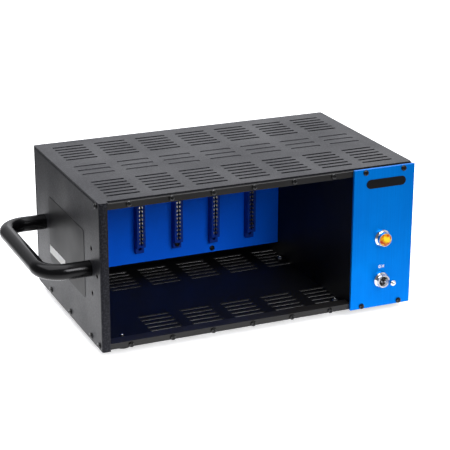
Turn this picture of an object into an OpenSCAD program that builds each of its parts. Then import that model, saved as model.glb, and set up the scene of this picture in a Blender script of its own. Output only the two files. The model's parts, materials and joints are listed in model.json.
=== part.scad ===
// Desktop rack for slide-in audio modules: a folded steel case with a carry handle on its left side,
// an open bay with card connectors on a blue backplane, and a power supply behind a blue front panel.
// Case coordinates: X from the left wall, Y back from the front rails, Z up from the base sheet.

/* [Case] */
// Width of one module slot
slot_pitch = 38.1; // [34:0.1:44]
// Height of the case without its feet
case_h = 133.35; // [130:0.05:150]
// Depth from the rails' front face to the back
case_d = 184; // [178:1:220]
// Thickness of the folded steel sheet
sheet_t = 1.2; // [1:0.1:1.5]
// Outer radius of the sheet's folds
fold_r = 2.2; // [1.8:0.1:3]
// Width of the left wall's front flange, where the first slot starts
front_flange_w = 7.4; // [6:0.1:10]
// Width of the side walls' top and rear flanges
inner_flange_w = 11; // [9:0.5:14]
// Height of the base sheet's upturned side flanges
base_flange_h = 9; // [8:0.5:14]
// Set-back of the top cover's and the base's front edge from the rails' face
cover_setback = 4; // [2:0.5:6]
// Play between sheets that slide past each other
sheet_gap = 0.2; // [0.1:0.05:0.3]

/* [Rails] */
// Depth of the front rails
rail_d = 11; // [9:0.5:14]
// Height of the front rails
rail_h = 5.3; // [5.2:0.1:6.5]
// Height of the screw rows from the case's top and bottom
screw_row = 3.175; // [3:0.025:3.6]
// Width of the power panel's part of the front
panel_w = 61; // [58:0.5:80]
// Thickness of the power panel
panel_t = 2.5; // [2:0.1:4]
// Play at the power panel's edges
panel_gap = 0.3; // [0.1:0.1:0.5]
// Distance between the power panel's screws
panel_screw_pitch = 38.1; // [34:0.1:42]

/* [Vents] */
// Length of a vent slot
vent_len = 30; // [20:1:34]
// Width of a vent slot
vent_w = 3; // [2:0.1:3.2]
// Distance between slots in a group
vent_pitch = 8; // [6.5:0.1:8.4]
// Slots in a group
vent_count = 6; // [3:1:6]
// Distance between groups
group_pitch = 40.2; // [38:0.1:41]
// Groups across the case
group_count = 7; // [3:2:7]
// Middle of the front row of groups
front_row_y = 37; // [36:0.1:44]
// Middle of the rear row of groups, from the back
rear_row_back = 37.1; // [34:0.1:44]
// Depth of the pressed beads between the rows
bead_depth = 0.4; // [0.2:0.1:0.6]
// Width of a pressed bead
bead_w = 4; // [3:0.5:6]
// Distance between beads
bead_pitch = 12; // [9:0.5:14]

/* [Handle] */
// Diameter of the handle's bar
handle_d = 14; // [12:0.5:18]
// Distance between the handle's legs
handle_pitch = 130; // [110:1:140]
// Reach of the grip's axis from the wall
handle_reach = 40.5; // [38:0.5:60]
// Bend radius of the handle's corners
handle_bend_r = 20; // [12:0.5:22]
// Radius of the handle bolts' shanks
handle_bolt_r = 3; // [2:0.1:4]
// Depth of the tapped hole in each leg
handle_bolt_depth = 14; // [8:1:18]

/* [Feet and fasteners] */
// Height of the rubber feet
foot_h = 7.5; // [6:0.5:10]
// Radius of the rubber feet at the top
foot_r = 9; // [8:0.5:12]
// Distance of the feet's middles from the case's sides
foot_side = 26.2; // [22:0.1:32]
// Distance of the front feet's middles from the rails' face
foot_front = 23.6; // [18:0.1:30]
// Distance of the rear feet's middles from the back
foot_back = 20; // [18:0.5:24]
// Shank radius of the case screws
screw_r = 1.4; // [1.2:0.05:1.6]
// Head radius of the case screws
screw_head_r = 2.6; // [2.2:0.1:2.8]
// Head height of the case screws
screw_head_h = 1.6; // [1.2:0.1:2]
// Play between a screw and its tapped hole
thread_gap = 0.05; // [0.02:0.01:0.1]
// Play between a screw and its clearance hole
hole_gap = 0.25; // [0.1:0.05:0.4]
// Distance of the ear holes' pair behind the front
ear_pair_y = 22; // [18:0.5:26]
// Height between the ear holes' pair
ear_pair_pitch = 40.6; // [36:0.2:46]
// Distance of the single ear hole behind the front
ear_single_y = 8.2; // [7:0.1:10]
// Thread radius of the ear inserts
ear_hole_r = 1.65; // [1.3:0.05:2]

/* [Backplane] */
// Distance of the blue plate's front face from the back
plate_back = 30; // [28:0.5:36]
// Thickness of the blue plate
plate_t = 1.5; // [1:0.1:2]
// Height of the blue plate's bottom edge
plate_z0 = 14; // [12:0.5:15]
// Distance of the blue plate's top edge from the case's top
plate_drop = 4.35; // [3.35:0.05:8]
// Gap between the blue plate and the board behind it
board_gap = 3; // [2:0.5:4]
// Thickness of the circuit boards
board_t = 1.6; // [1.2:0.1:2]
// Offset of a card connector from its slot's middle, to the left
card_offset = 12.4; // [8:0.1:14]
// Height of the card connectors' middle
card_z = 64.3; // [60:0.1:70]
// Width of a card connector
card_w = 8.2; // [7.6:0.1:10]
// How far a card connector stands in front of the plate
card_reach = 9.3; // [8:0.1:12]
// Length of a card connector's body
card_len = 64.4; // [62:0.1:66]
// Distance of a card connector's ear holes from its body's ends
card_ear_reach = 2.8; // [2.4:0.1:4]
// Thickness of a card connector's ears
card_ear_t = 4.6; // [3:0.1:6]
// Contacts in one row
contact_count = 15; // [8:1:15]
// Distance between contacts
contact_pitch = 3.96; // [3.5:0.01:4]
// Height of a contact
contact_h = 1.7; // [1.2:0.1:2]
// Width of the slot that takes the card
card_slot_w = 1.9; // [1.7:0.05:2.2]

/* [Rear sockets] */
// Height of the input sockets
input_z = 94; // [92:0.5:98]
// Height of the output sockets
output_z = 47; // [42:0.5:50]
// Radius of a socket's round front
socket_r = 11.6; // [11.2:0.1:12]
// Side of a socket's square flange behind the rear panel
socket_flange = 27; // [26:0.5:30]
// Radius of the output sockets' cavity
cavity_r = 8; // [7.6:0.1:8.4]
// Depth of the sockets' cavities
cavity_depth = 14; // [12:0.5:16]
// Radius of the contact pins
pin_r = 1.15; // [1:0.05:1.2]
// Radius of the circle the pins stand on
pin_circle_r = 4.4; // [4.2:0.1:4.6]
// Travel of an input socket's latch button
latch_travel = 1.5; // [1:0.1:2]
// Height of the mains inlet
inlet_z = 38; // [30:0.5:50]

/* [Switch and lamp] */
// Height of the toggle switch
toggle_z = 26.5; // [24:0.5:32]
// Angle of the toggle's lever from the middle
toggle_tilt = 14; // [10:0.5:16]
// Length of the lever from its pivot to its tip's middle
lever_len = 19.5; // [16:0.5:24]
// Radius of the lever's rounded tip
lever_tip_r = 2.7; // [2.4:0.1:3]
// Radius of the switch's threaded neck
neck_r = 5.9; // [5.6:0.1:6.2]
// Radius of the round nut on the neck
neck_nut_r = 7.3; // [7:0.1:8]
// Height of the lamp
lamp_z = 66.6; // [60:0.2:80]
// Radius of the lamp's bezel flange
bezel_r = 7.7; // [7:0.1:9]
// Radius of the lamp's jewel
jewel_r = 5.7; // [5:0.1:6]
// How far the bezel's barrel stands out of the panel
bezel_reach = 6; // [4:0.5:8]

/* [Power supply] */
// Width of the supply's circuit board
supply_w = 46; // [40:1:50]
// Distance of the supply's circuit board from the front rails
supply_setback = 18; // [14:1:24]
// Height of the supply board's standoffs
supply_lift = 6; // [5:0.5:10]
// Radius of the ring transformer
ring_r = 24; // [20:0.5:25]
// Height of the ring transformer
ring_h = 26; // [20:0.5:34]

/* [Hidden] */
$fn = 48;
eps = 0.01;
slot_count = 6;
slots = [1:slot_count];

// Overall layout of the case
bay_x1 = front_flange_w + slot_count * slot_pitch;
case_w = bay_x1 + panel_w;
side_top = case_h - sheet_t;
back_y = case_d - sheet_t;
inner_back_y = back_y - sheet_t;
rear_row_y = case_d - rear_row_back;
plate_y = case_d - plate_back;
plate_z1 = case_h - plate_drop;
divider_inset = 1.4;
wall_x = bay_x1 + divider_inset;
panel_x0 = bay_x1 + panel_gap;
panel_x1 = case_w - panel_gap;
panel_cx = (panel_x0 + panel_x1) / 2;
supply_cx = (wall_x + sheet_t + case_w - sheet_t) / 2;
rail_top_z = case_h - sheet_t - rail_h;
rail_screw_back = 1.5;
rail_mid_y = rail_d / 2 + rail_screw_back;
cover_corner_r = 1.5;
function slot_x(i) = front_flange_w + (i - 0.5) * slot_pitch;
function card_x(i) = slot_x(i) - card_offset;

// Screws through the side walls, as [Y, Z]
side_screw_z = 4.6;
side_screw_front = 28;
side_screw_off = 6;
side_screw_back = 40.5;
side_screw_ys = [side_screw_front, case_d / 2 - side_screw_off, case_d - side_screw_back];
rail_screw_len = 7;
edge_screw_len = 6;
rail_end_zs = [sheet_t + rail_h / 2, side_top - rail_h / 2];
ear_holes = [
    [ear_pair_y, (case_h - ear_pair_pitch) / 2],
    [ear_pair_y, (case_h + ear_pair_pitch) / 2],
    [ear_single_y, case_h / 2]
];
insert_wall = 1;
insert_flange = 2.2;
insert_h = 2.4;
press_gap = 0.02;
handle_ys = [(case_d - handle_pitch) / 2, (case_d + handle_pitch) / 2];
handle_z = case_h / 2 + 0.7;
rail_screw_zs = [screw_row, case_h - screw_row];
panel_screw_xs = [panel_cx - panel_screw_pitch / 2, panel_cx + panel_screw_pitch / 2];

// Feet stand at the base's corners, each on a screw whose tip shows inside
foot_xs = [foot_side, case_w - foot_side];
foot_ys = [foot_front, case_d - foot_back];
foot_screw_r = 1.4;
foot_head_r = 2.9;
foot_head_h = 2;
foot_tip = 1.6;
foot_web = 2.5;
foot_recess_r = 4;
foot_rim = 0.7;
foot_taper = 0.9;

// The divider's tabs stand on the base, each with a screw between two vent slots
row_half = vent_pitch * (vent_count - 1) / 2;
divider_tab_w = 9;
divider_tab_len = 12;
divider_screw_x = wall_x - divider_tab_w / 2;
divider_screw_ys = [front_row_y - row_half + vent_pitch / 2, rear_row_y - row_half + 3 * vent_pitch / 2];
lead_hole_r = 7;

// Rear panel fasteners, as [X, Z]
rear_edge_x = inner_flange_w / 2 + 0.4;
rear_corner_z = 22;
rear_side_zs = [rear_corner_z, case_h / 2, case_h - rear_corner_z];
rear_flange_z = 6.4;
rear_flange_h = rear_flange_z + 4;
rear_flange_inset = inner_flange_w + 3;
rear_side_screws = [for (x = [rear_edge_x, case_w - rear_edge_x], z = rear_side_zs) [x, z]];
rear_base_screws = [for (x = [case_w * 0.22, case_w * 0.5, case_w * 0.88]) [x, rear_flange_z]];
rear_screws = concat(rear_side_screws, rear_base_screws);
post_r = 3;
post_inset = 4;
post_thread = 8;
post_len = back_y - plate_y - plate_t;
post_xs = [card_x(2), card_x(5)];
post_zs = [plate_z0 + post_inset, plate_z1 - post_inset];
posts = [for (x = post_xs, z = post_zs) [x, z]];

// Boards and sockets behind the blue plate
board_y = plate_y + plate_t + board_gap;
socket_y0 = board_y + board_t;
board_edge = 4;
card_ear_pitch = card_len + 2 * card_ear_reach;
card_ear_zs = [card_z - card_ear_pitch / 2, card_z + card_ear_pitch / 2];
card_seat = 0.5;
card_tail_inset = 0.7;
card_tail_gap = 0.4;
card_slot_end = 2.6;
contact_span = (contact_count - 1) * contact_pitch;
contact_cell_h = contact_h + 0.6;
contact_cell_w = 1.4;
lead_hole_y = (socket_y0 + inner_back_y) / 2;
socket_flange_t = 2;
socket_proud = 0.8;
socket_hole_r = socket_r + hole_gap;
socket_screw_at = 10.4;
pin_angles = [30, 150, 270];
pin_gap = 0.15;
pin_inset = 2.2;
sleeve_gap = 1.6;
key_w = 2.4;
key_depth = 1;
socket_neck = 0.6;
socket_len = case_d + socket_proud - socket_y0;
latch_w = 6;
latch_h = 2.6;
latch_z = socket_r + 1.1;
latch_gap = 0.3;
latch_stem = 9;
latch_guide = 6;
latch_pad_t = 1.6;
latch_boss_w = latch_w + 4;
latch_boss_h = latch_h + 3;
latch_out = socket_proud + latch_travel + latch_gap + latch_pad_t;

// Mains inlet, in the middle of the room between the divider and the right wall's rear flange
inlet_x = (wall_x + sheet_t + case_w - inner_flange_w) / 2;
inlet_w = 28;
inlet_h = 20.5;
inlet_flange_w = 50;
inlet_flange_h = 25;
inlet_flange_t = 2.6;
inlet_screw_pitch = 40;
inlet_screw_len = 5;
inlet_corner_r = 3;
inlet_body_d = 22;
inlet_wall = 2;
inlet_chamfer = 4;
inlet_blades = [[-7, -2], [0, 2], [7, -2]];
blade_t = 2;
blade_h = 4;
blade_inset = 2;
blade_tail = 7;

// Switch pivot and the lamp's barrel, out from the panel's face
neck_reach = 6;
pivot_y = -panel_t - 3;
lever_ball_r = 2.3;
lever_root_r = 1.5;
lever_mid_r = 1.9;
lever_flare = 7;
pivot_pin_r = 0.6;
pivot_gap = 0.06;
ball_gap = 0.5;
neck_wall = 1.2;
switch_y = 3;
switch_w = 13;
switch_d = 19;
switch_h = 16;
back_nut_t = 2.4;
back_nut_r = 8;
tag_len = 6;
tag_w = 4.8;
tag_t = 0.8;
tag_pitch = 4.7;
barrel_r = jewel_r + 0.6;
barrel_tail = 8;
jewel_seat = 3;
jewel_rim = 3.2;
jewel_crown = 2.4;
jewel_lip = 1;
lamp_nut_t = 2.6;
lamp_nut_r = 8.6;
holder_len = 14;
holder_gap = 0.1;

// Power supply: ring transformer in front of the inlet, and a board that fills the room up to it
ring_y = case_d - inlet_body_d - blade_tail - ring_r;
ring_board_gap = 2;
supply_edge = 4;
supply_x0 = supply_cx - supply_w / 2;
supply_y0 = rail_d + supply_setback;
supply_len = ring_y - ring_r - ring_board_gap - supply_y0;
supply_z0 = sheet_t + supply_lift;
supply_z1 = supply_z0 + board_t;
supply_corners = [
    for (x = [supply_edge, supply_w - supply_edge], y = [supply_edge, supply_len - supply_edge])
        [supply_x0 + x, supply_y0 + y]
];
capacitor_count = 3;
capacitor_r = 8;
capacitor_h = 28;
capacitor_pitch = 2 * capacitor_r + 1.5;
heatsink_w = 17;
heatsink_h = 30;
heatsink_t = 3;
heatsink_inset = 12;
heatsink_len = supply_len - 2 * heatsink_inset;
fin_count = 7;
fin_t = 1.6;
ring_bevel = 5;
ring_bolt_r = 2.5;
ring_washer_t = 1.2;
ring_nut_r = 4.6;
ring_nut_t = 4;

// Handle: straight legs and grip between the corner bends
corner_y = handle_pitch / 2 - handle_bend_r;
leg_len = handle_reach - handle_bend_r;
bolt_head_r = 5;
bolt_head_h = 5;
bolt_hex_r = 2.9;
bolt_hex_depth = 3;
bolt_end_gap = 1;
plate_notch_gap = 0.6;

// The part's origin is the middle of its bounding box, on the surface that it stands on
x_low = -handle_reach - handle_d / 2;
x_high = case_w + screw_head_h;
y_low = pivot_y - lever_len * cos(toggle_tilt) - lever_tip_r;
y_high = case_d + max(latch_out, inlet_flange_t + screw_head_h);
origin = [(x_low + x_high) / 2, (y_low + y_high) / 2, -foot_h];

steel_black = [0.16, 0.16, 0.17];
screw_black = [0.08, 0.08, 0.08];
blue = [0.05, 0.42, 0.82];
chrome = [0.8, 0.8, 0.82];

// Placing helpers
module in_frame() translate(-origin) children();
module toward_back(x, y, z) translate([x, y, z]) rotate([-90, 0, 0]) children();
module toward_front(x, y, z) translate([x, y, z]) rotate([90, 0, 0]) children();
module toward_right(x, y, z) translate([x, y, z]) rotate([0, 90, 0]) children();
module mirrored(right) {
    if (right) translate([case_w, 0, 0]) mirror([1, 0, 0]) children();
    else children();
}
// Places its children on a side wall's outer face at [Y, Z], with local Z pointing into the case
module into_side(right, p) mirrored(right) toward_right(0, p[0], p[1]) children();

// Flat shapes
module stadium(len, w) {
    square([len - w, w], center = true);
    for (s = [-1, 1]) translate([s * (len - w) / 2, 0]) circle(d = w);
}
module rounded_rect(x0, y0, x1, y1, r) {
    translate([x0 + r, y0]) square([x1 - x0 - 2 * r, y1 - y0]);
    translate([x0, y0 + r]) square([x1 - x0, y1 - y0 - 2 * r]);
    for (x = [x0 + r, x1 - r], y = [y0 + r, y1 - r]) translate([x, y]) circle(r);
}
// A folded corner in plan: legs a along X and b along Y from an outer corner at the origin
module fold_corner(a, b) {
    translate([fold_r - eps, 0]) square([a - fold_r + eps, sheet_t]);
    translate([0, fold_r - eps]) square([sheet_t, b - fold_r + eps]);
    difference() {
        intersection() {
            translate([fold_r, fold_r]) circle(fold_r);
            square(fold_r);
        }
        translate([fold_r, fold_r]) circle(fold_r - sheet_t);
    }
}
// Both rows of vent groups, with some left out at each end
module vent_rows(left_out) {
    for (row = [front_row_y, rear_row_y], g = [left_out:group_count - 1 - left_out], k = [0:vent_count - 1])
        translate([case_w / 2 + (g - (group_count - 1) / 2) * group_pitch, row - row_half + k * vent_pitch])
            stadium(vent_len, vent_w);
}
module beads() {
    for (g = [0:group_count - 1], k = [-1:1])
        translate([
            case_w / 2 + (g - (group_count - 1) / 2) * group_pitch,
            (front_row_y + rear_row_y) / 2 + k * bead_pitch
        ])
            stadium(vent_len, bead_w);
}

// Screws, with the head's underside at local Z = 0 and the shank along +Z
module screw(len) {
    translate([0, 0, -screw_head_h]) cylinder(r = screw_head_r, h = screw_head_h);
    translate([0, 0, -eps]) cylinder(r = screw_r, h = len + eps);
}
module clearance_hole(len) translate([0, 0, -eps]) cylinder(r = screw_r + hole_gap, h = len + 2 * eps);
module tapped_hole(len) translate([0, 0, -eps]) cylinder(r = screw_r + thread_gap, h = len + 2 * eps);

// Folded steel case
module base_panel() color(steel_black) difference() {
    union() {
        linear_extrude(sheet_t) difference() {
            translate([sheet_t + fold_r, cover_setback])
                square([case_w - 2 * (sheet_t + fold_r), inner_back_y - cover_setback]);
            vent_rows(1);
        }
        for (right = [false, true]) mirrored(right)
            translate([sheet_t, inner_back_y - inner_flange_w, 0]) rotate([90, 0, 0])
                linear_extrude(inner_back_y - inner_flange_w - rail_d - 1)
                    fold_corner(fold_r + eps, base_flange_h);
        translate([rear_flange_inset, inner_back_y - eps, 0])
            cube([case_w - 2 * rear_flange_inset, sheet_t + eps, rear_flange_h]);
    }
    for (right = [false, true], y = side_screw_ys)
        mirrored(right) toward_right(sheet_t, y, side_screw_z) tapped_hole(sheet_t);
    for (p = rear_base_screws) toward_back(p[0], inner_back_y, p[1]) tapped_hole(sheet_t);
    for (x = foot_xs, y = foot_ys)
        translate([x, y, -eps]) cylinder(r = foot_screw_r + thread_gap, h = sheet_t + 2 * eps);
    for (y = divider_screw_ys) translate([divider_screw_x, y, 0]) tapped_hole(sheet_t);
}

module top_cover() color(steel_black) translate([0, 0, side_top]) difference() {
    linear_extrude(sheet_t) difference() {
        union() {
            rounded_rect(0, cover_setback, case_w, case_d, cover_corner_r);
            rounded_rect(0, -sheet_t / 2, front_flange_w + 1, 2 * cover_setback, cover_corner_r);
        }
        vent_rows(0);
    }
    translate([0, 0, sheet_t - bead_depth]) linear_extrude(sheet_t) beads();
}

// Side wall with its rear and top flanges, and a front flange on the left one only
module side_wall(right) mirrored(right) difference() {
    union() {
        linear_extrude(side_top - fold_r) {
            if (right) square([sheet_t, case_d / 2]);
            else translate([0, -sheet_t]) fold_corner(front_flange_w, case_d / 2);
            translate([0, back_y]) mirror([0, 1]) fold_corner(inner_flange_w, case_d / 2);
        }
        translate([0, inner_back_y - 1, side_top]) rotate([90, 0, 0])
            linear_extrude(inner_back_y - rail_d - 2)
                mirror([0, 1]) fold_corner(inner_flange_w, fold_r + 1);
        translate([0, 0, side_top - fold_r - eps]) linear_extrude(fold_r + eps) {
            if (right) square([sheet_t, rail_d]);
            else translate([0, -sheet_t]) fold_corner(front_flange_w, rail_d);
        }
    }
    for (y = side_screw_ys) toward_right(0, y, side_screw_z) clearance_hole(sheet_t);
    for (z = rail_end_zs) toward_right(0, rail_mid_y, z) clearance_hole(sheet_t);
    for (p = ear_holes) toward_right(-eps, p[0], p[1])
        cylinder(r = ear_hole_r + insert_wall + press_gap, h = sheet_t + 2 * eps);
    for (z = rear_side_zs) toward_back(rear_edge_x, inner_back_y, z) tapped_hole(sheet_t);
    if (!right) for (y = handle_ys)
        toward_right(-eps, y, handle_z) cylinder(r = handle_bolt_r + hole_gap, h = sheet_t + 2 * eps);
}
module left_side_panel() color(steel_black) side_wall(false);
module right_side_panel() color(steel_black) side_wall(true);

module rear_panel() color(steel_black) difference() {
    translate([sheet_gap, back_y, 0]) cube([case_w - 2 * sheet_gap, sheet_t, side_top]);
    for (i = slots) {
        toward_back(slot_x(i), back_y - eps, input_z) cylinder(r = socket_hole_r, h = sheet_t + 2 * eps);
        toward_back(slot_x(i), back_y - eps, output_z) cylinder(r = socket_hole_r, h = sheet_t + 2 * eps);
        translate([slot_x(i) - latch_boss_w / 2 - hole_gap, back_y - eps, input_z])
            cube([latch_boss_w + 2 * hole_gap, sheet_t + 2 * eps, latch_z + latch_boss_h / 2 + hole_gap]);
        for (z = [input_z, output_z], s = [-1, 1])
            toward_back(slot_x(i) + s * socket_screw_at, back_y, z - s * socket_screw_at)
                clearance_hole(sheet_t);
    }
    for (p = concat(rear_screws, posts)) toward_back(p[0], back_y, p[1]) clearance_hole(sheet_t);
    translate([inlet_x - inlet_w / 2 - hole_gap, back_y - eps, inlet_z - inlet_h / 2 - hole_gap])
        cube([inlet_w + 2 * hole_gap, sheet_t + 2 * eps, inlet_h + 2 * hole_gap]);
    for (s = [-1, 1]) toward_back(inlet_x + s * inlet_screw_pitch / 2, back_y, inlet_z) tapped_hole(sheet_t);
}

// Front rails: solid bars that the panels are screwed to, chamfered where the left wall's front fold runs
module front_rail(z0, row_z) color(steel_black) difference() {
    translate([sheet_t, 0, z0]) linear_extrude(rail_h) polygon([
        [fold_r - sheet_t, 0], [case_w - 2 * sheet_t, 0], [case_w - 2 * sheet_t, rail_d], [0, rail_d],
        [0, fold_r - sheet_t]
    ]);
    for (x = concat([for (i = slots) slot_x(i)], panel_screw_xs))
        toward_back(x, 0, row_z) tapped_hole(rail_d);
    for (right = [false, true]) mirrored(right)
        toward_right(sheet_t, rail_mid_y, z0 + rail_h / 2) tapped_hole(rail_screw_len);
}
module top_front_rail() front_rail(rail_top_z, case_h - screw_row);
module bottom_front_rail() front_rail(sheet_t, screw_row);

// Wall between the module bay and the power supply
module bay_divider() color(steel_black) difference() {
    union() {
        translate([wall_x, sheet_gap, sheet_t])
            cube([sheet_t, inner_back_y - 2 * sheet_gap, side_top - sheet_t - sheet_gap]);
        for (y = divider_screw_ys) translate([wall_x - divider_tab_w, y - divider_tab_len / 2, sheet_t])
            cube([divider_tab_w + eps, divider_tab_len, sheet_t]);
    }
    for (z = [sheet_t - eps, rail_top_z - sheet_gap])
        translate([wall_x - eps, -eps, z])
            cube([sheet_t + 2 * eps, rail_d + sheet_gap, rail_h + sheet_gap + 2 * eps]);
    for (y = divider_screw_ys) translate([divider_screw_x, y, sheet_t]) clearance_hole(sheet_t);
    toward_right(wall_x - eps, lead_hole_y, case_h / 2) cylinder(r = lead_hole_r, h = sheet_t + 2 * eps);
}

module power_panel() color(blue) difference() {
    translate([panel_x0, -panel_t, 2 * panel_gap])
        cube([panel_x1 - panel_x0, panel_t, case_h - 3 * panel_gap]);
    for (x = panel_screw_xs, z = rail_screw_zs) toward_front(x, 0, z) clearance_hole(panel_t);
    toward_front(panel_cx, eps, toggle_z) cylinder(r = neck_r + hole_gap, h = panel_t + 2 * eps);
    toward_front(panel_cx, eps, lamp_z) cylinder(r = barrel_r + hole_gap, h = panel_t + 2 * eps);
}

// Bent bar: two legs, two corner bends and the grip
module carry_handle() color([0.05, 0.05, 0.05]) translate([0, case_d / 2, handle_z]) {
    for (s = [0, 1]) mirror([0, s, 0]) {
        translate([-leg_len, handle_pitch / 2, 0]) rotate([0, 90, 0]) difference() {
            cylinder(d = handle_d, h = leg_len);
            translate([0, 0, leg_len - handle_bolt_depth])
                cylinder(r = handle_bolt_r + thread_gap, h = handle_bolt_depth + eps);
        }
        translate([-leg_len, corner_y, 0]) rotate([0, 0, 90]) rotate_extrude(angle = 90)
            translate([handle_bend_r, 0]) circle(d = handle_d);
    }
    translate([-handle_reach, -corner_y, 0]) rotate([-90, 0, 0]) cylinder(d = handle_d, h = 2 * corner_y);
}
module handle_bolts() color(screw_black) for (y = handle_ys) {
    toward_right(sheet_t, y, handle_z) difference() {
        cylinder(r = bolt_head_r, h = bolt_head_h);
        translate([0, 0, bolt_head_h - bolt_hex_depth])
            cylinder(r = bolt_hex_r, h = bolt_hex_depth + eps, $fn = 6);
    }
    toward_right(bolt_end_gap - handle_bolt_depth, y, handle_z)
        cylinder(r = handle_bolt_r, h = handle_bolt_depth - bolt_end_gap + sheet_t + eps);
}

// Feet and fasteners
module rubber_feet() color([0.22, 0.22, 0.22]) for (x = foot_xs, y = foot_ys) translate([x, y, 0])
    rotate_extrude() polygon([
        [foot_screw_r + hole_gap, 0], [foot_screw_r + hole_gap, -foot_web], [foot_recess_r, -foot_web],
        [foot_recess_r, -foot_h], [foot_r - foot_taper - foot_rim, -foot_h],
        [foot_r - foot_taper, foot_rim - foot_h], [foot_r, 0]
    ]);
module foot_screws() color([0.7, 0.7, 0.72]) for (x = foot_xs, y = foot_ys) translate([x, y, -foot_web]) {
    translate([0, 0, -foot_head_h]) cylinder(r = foot_head_r, h = foot_head_h);
    translate([0, 0, -eps]) cylinder(r = foot_screw_r, h = foot_web + sheet_t + foot_tip + eps);
}
module front_screws() color(screw_black) for (z = rail_screw_zs) {
    for (i = slots) toward_back(slot_x(i), 0, z) screw(rail_screw_len);
    for (x = panel_screw_xs) toward_back(x, -panel_t, z) screw(rail_screw_len + panel_t);
}
module case_screws() color(screw_black) {
    for (right = [false, true]) {
        for (y = side_screw_ys) into_side(right, [y, side_screw_z]) screw(edge_screw_len);
        for (z = rail_end_zs) into_side(right, [rail_mid_y, z]) screw(rail_screw_len);
    }
    for (p = concat(rear_screws, posts)) toward_front(p[0], case_d, p[1]) screw(edge_screw_len);
    for (y = divider_screw_ys)
        translate([divider_screw_x, y, 2 * sheet_t]) mirror([0, 0, 1]) screw(2 * sheet_t);
}
// Pressed-in threaded inserts that take bolt-on rack ears
module ear_inserts() color([0.45, 0.45, 0.47]) for (right = [false, true], p = ear_holes) into_side(right, p)
    difference() {
        union() {
            cylinder(r = ear_hole_r + insert_wall, h = sheet_t + eps);
            translate([0, 0, sheet_t]) cylinder(r = ear_hole_r + insert_flange, h = insert_h);
        }
        translate([0, 0, -eps]) cylinder(r = ear_hole_r, h = sheet_t + insert_h + 2 * eps);
    }

// Backplane: blue plate, board, posts and card connectors
module backplane_plate() color(blue) difference() {
    translate([2 * sheet_t + 2 * sheet_gap, plate_y, plate_z0])
        cube([wall_x - 2 * sheet_t - 3 * sheet_gap, plate_t, plate_z1 - plate_z0]);
    translate([0, plate_y - eps, handle_z - bolt_head_r - plate_notch_gap])
        cube([
            sheet_t + bolt_head_h + plate_notch_gap, plate_t + 2 * eps, 2 * (bolt_head_r + plate_notch_gap)
        ]);
    for (i = slots) {
        translate([card_x(i) - card_w / 2 + card_seat, plate_y - eps, card_z - card_len / 2 + card_seat])
            cube([card_w - 2 * card_seat, plate_t + 2 * eps, card_len - 2 * card_seat]);
        for (z = card_ear_zs) toward_back(card_x(i), plate_y, z) tapped_hole(plate_t);
    }
    for (p = posts) toward_back(p[0], plate_y, p[1]) clearance_hole(plate_t);
}
module backplane_board() color([0.1, 0.3, 0.16]) difference() {
    translate([slot_x(1) - (slot_pitch - board_edge) / 2, board_y, plate_z0 + board_edge])
        cube([slot_count * slot_pitch - board_edge, board_t, plate_z1 - plate_z0 - 2 * board_edge]);
    for (p = posts)
        toward_back(p[0], board_y - eps, p[1]) cylinder(r = post_r + hole_gap, h = board_t + 2 * eps);
}
module backplane_posts() color([0.7, 0.7, 0.68]) for (p = posts)
    toward_back(p[0], plate_y + plate_t, p[1]) difference() {
        cylinder(r = post_r, h = post_len, $fn = 6);
        tapped_hole(post_thread);
        translate([0, 0, post_len - post_thread]) tapped_hole(post_thread);
    }
module plate_screws() color(chrome) {
    for (p = posts) toward_back(p[0], plate_y, p[1]) screw(edge_screw_len);
    for (z = card_ear_zs) toward_back(card_x(4), plate_y - card_ear_t, z) screw(card_ear_t + plate_t);
}
module card_connector(i) color(blue) translate([card_x(i), plate_y, card_z]) difference() {
    union() {
        translate([-card_w / 2, -card_reach, -card_len / 2]) cube([card_w, card_reach, card_len]);
        translate([-card_w / 2 + card_tail_inset, -eps, -card_len / 2 + card_tail_inset])
            cube([
                card_w - 2 * card_tail_inset,
                board_y - plate_y - card_tail_gap + eps,
                card_len - 2 * card_tail_inset
            ]);
        translate([-card_w / 2, -card_ear_t, -(card_ear_pitch + card_w) / 2])
            cube([card_w, card_ear_t, card_ear_pitch + card_w]);
    }
    translate([-card_slot_w / 2, -card_reach - eps, -contact_span / 2 - card_slot_end])
        cube([card_slot_w, card_reach, contact_span + 2 * card_slot_end]);
    for (s = [-1, 1], k = [0:contact_count - 1])
        translate([
            s * (card_slot_w / 2 + contact_cell_w / 2) - contact_cell_w / 2 - eps,
            -card_reach - eps,
            k * contact_pitch - contact_span / 2 - contact_cell_h / 2
        ])
            cube([contact_cell_w + 2 * eps, card_reach + board_y - plate_y, contact_cell_h]);
    for (z = card_ear_zs) toward_back(0, -card_ear_t, z - card_z) clearance_hole(card_ear_t);
}
// One spring contact in plan: a strip from the board to the mouth that bows into the card's slot
module contact_leaf() polygon([
    [0.35, board_y - plate_y], [0.35, -card_reach + 4.6],
    [-0.55, -card_reach + 3.2], [0.15, -card_reach + 0.5],
    [0.75, -card_reach + 0.5], [0.1, -card_reach + 3.2],
    [0.95, -card_reach + 4.6], [0.95, board_y - plate_y]
]);
module card_contacts() color([0.85, 0.8, 0.6])
    for (i = slots, s = [-1, 1], k = [0:contact_count - 1])
        translate([card_x(i), plate_y, card_z + k * contact_pitch - contact_span / 2 - contact_h / 2])
            mirror([s < 0 ? 1 : 0, 0, 0]) translate([card_slot_w / 2, 0, 0])
                linear_extrude(contact_h) contact_leaf();

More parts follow.
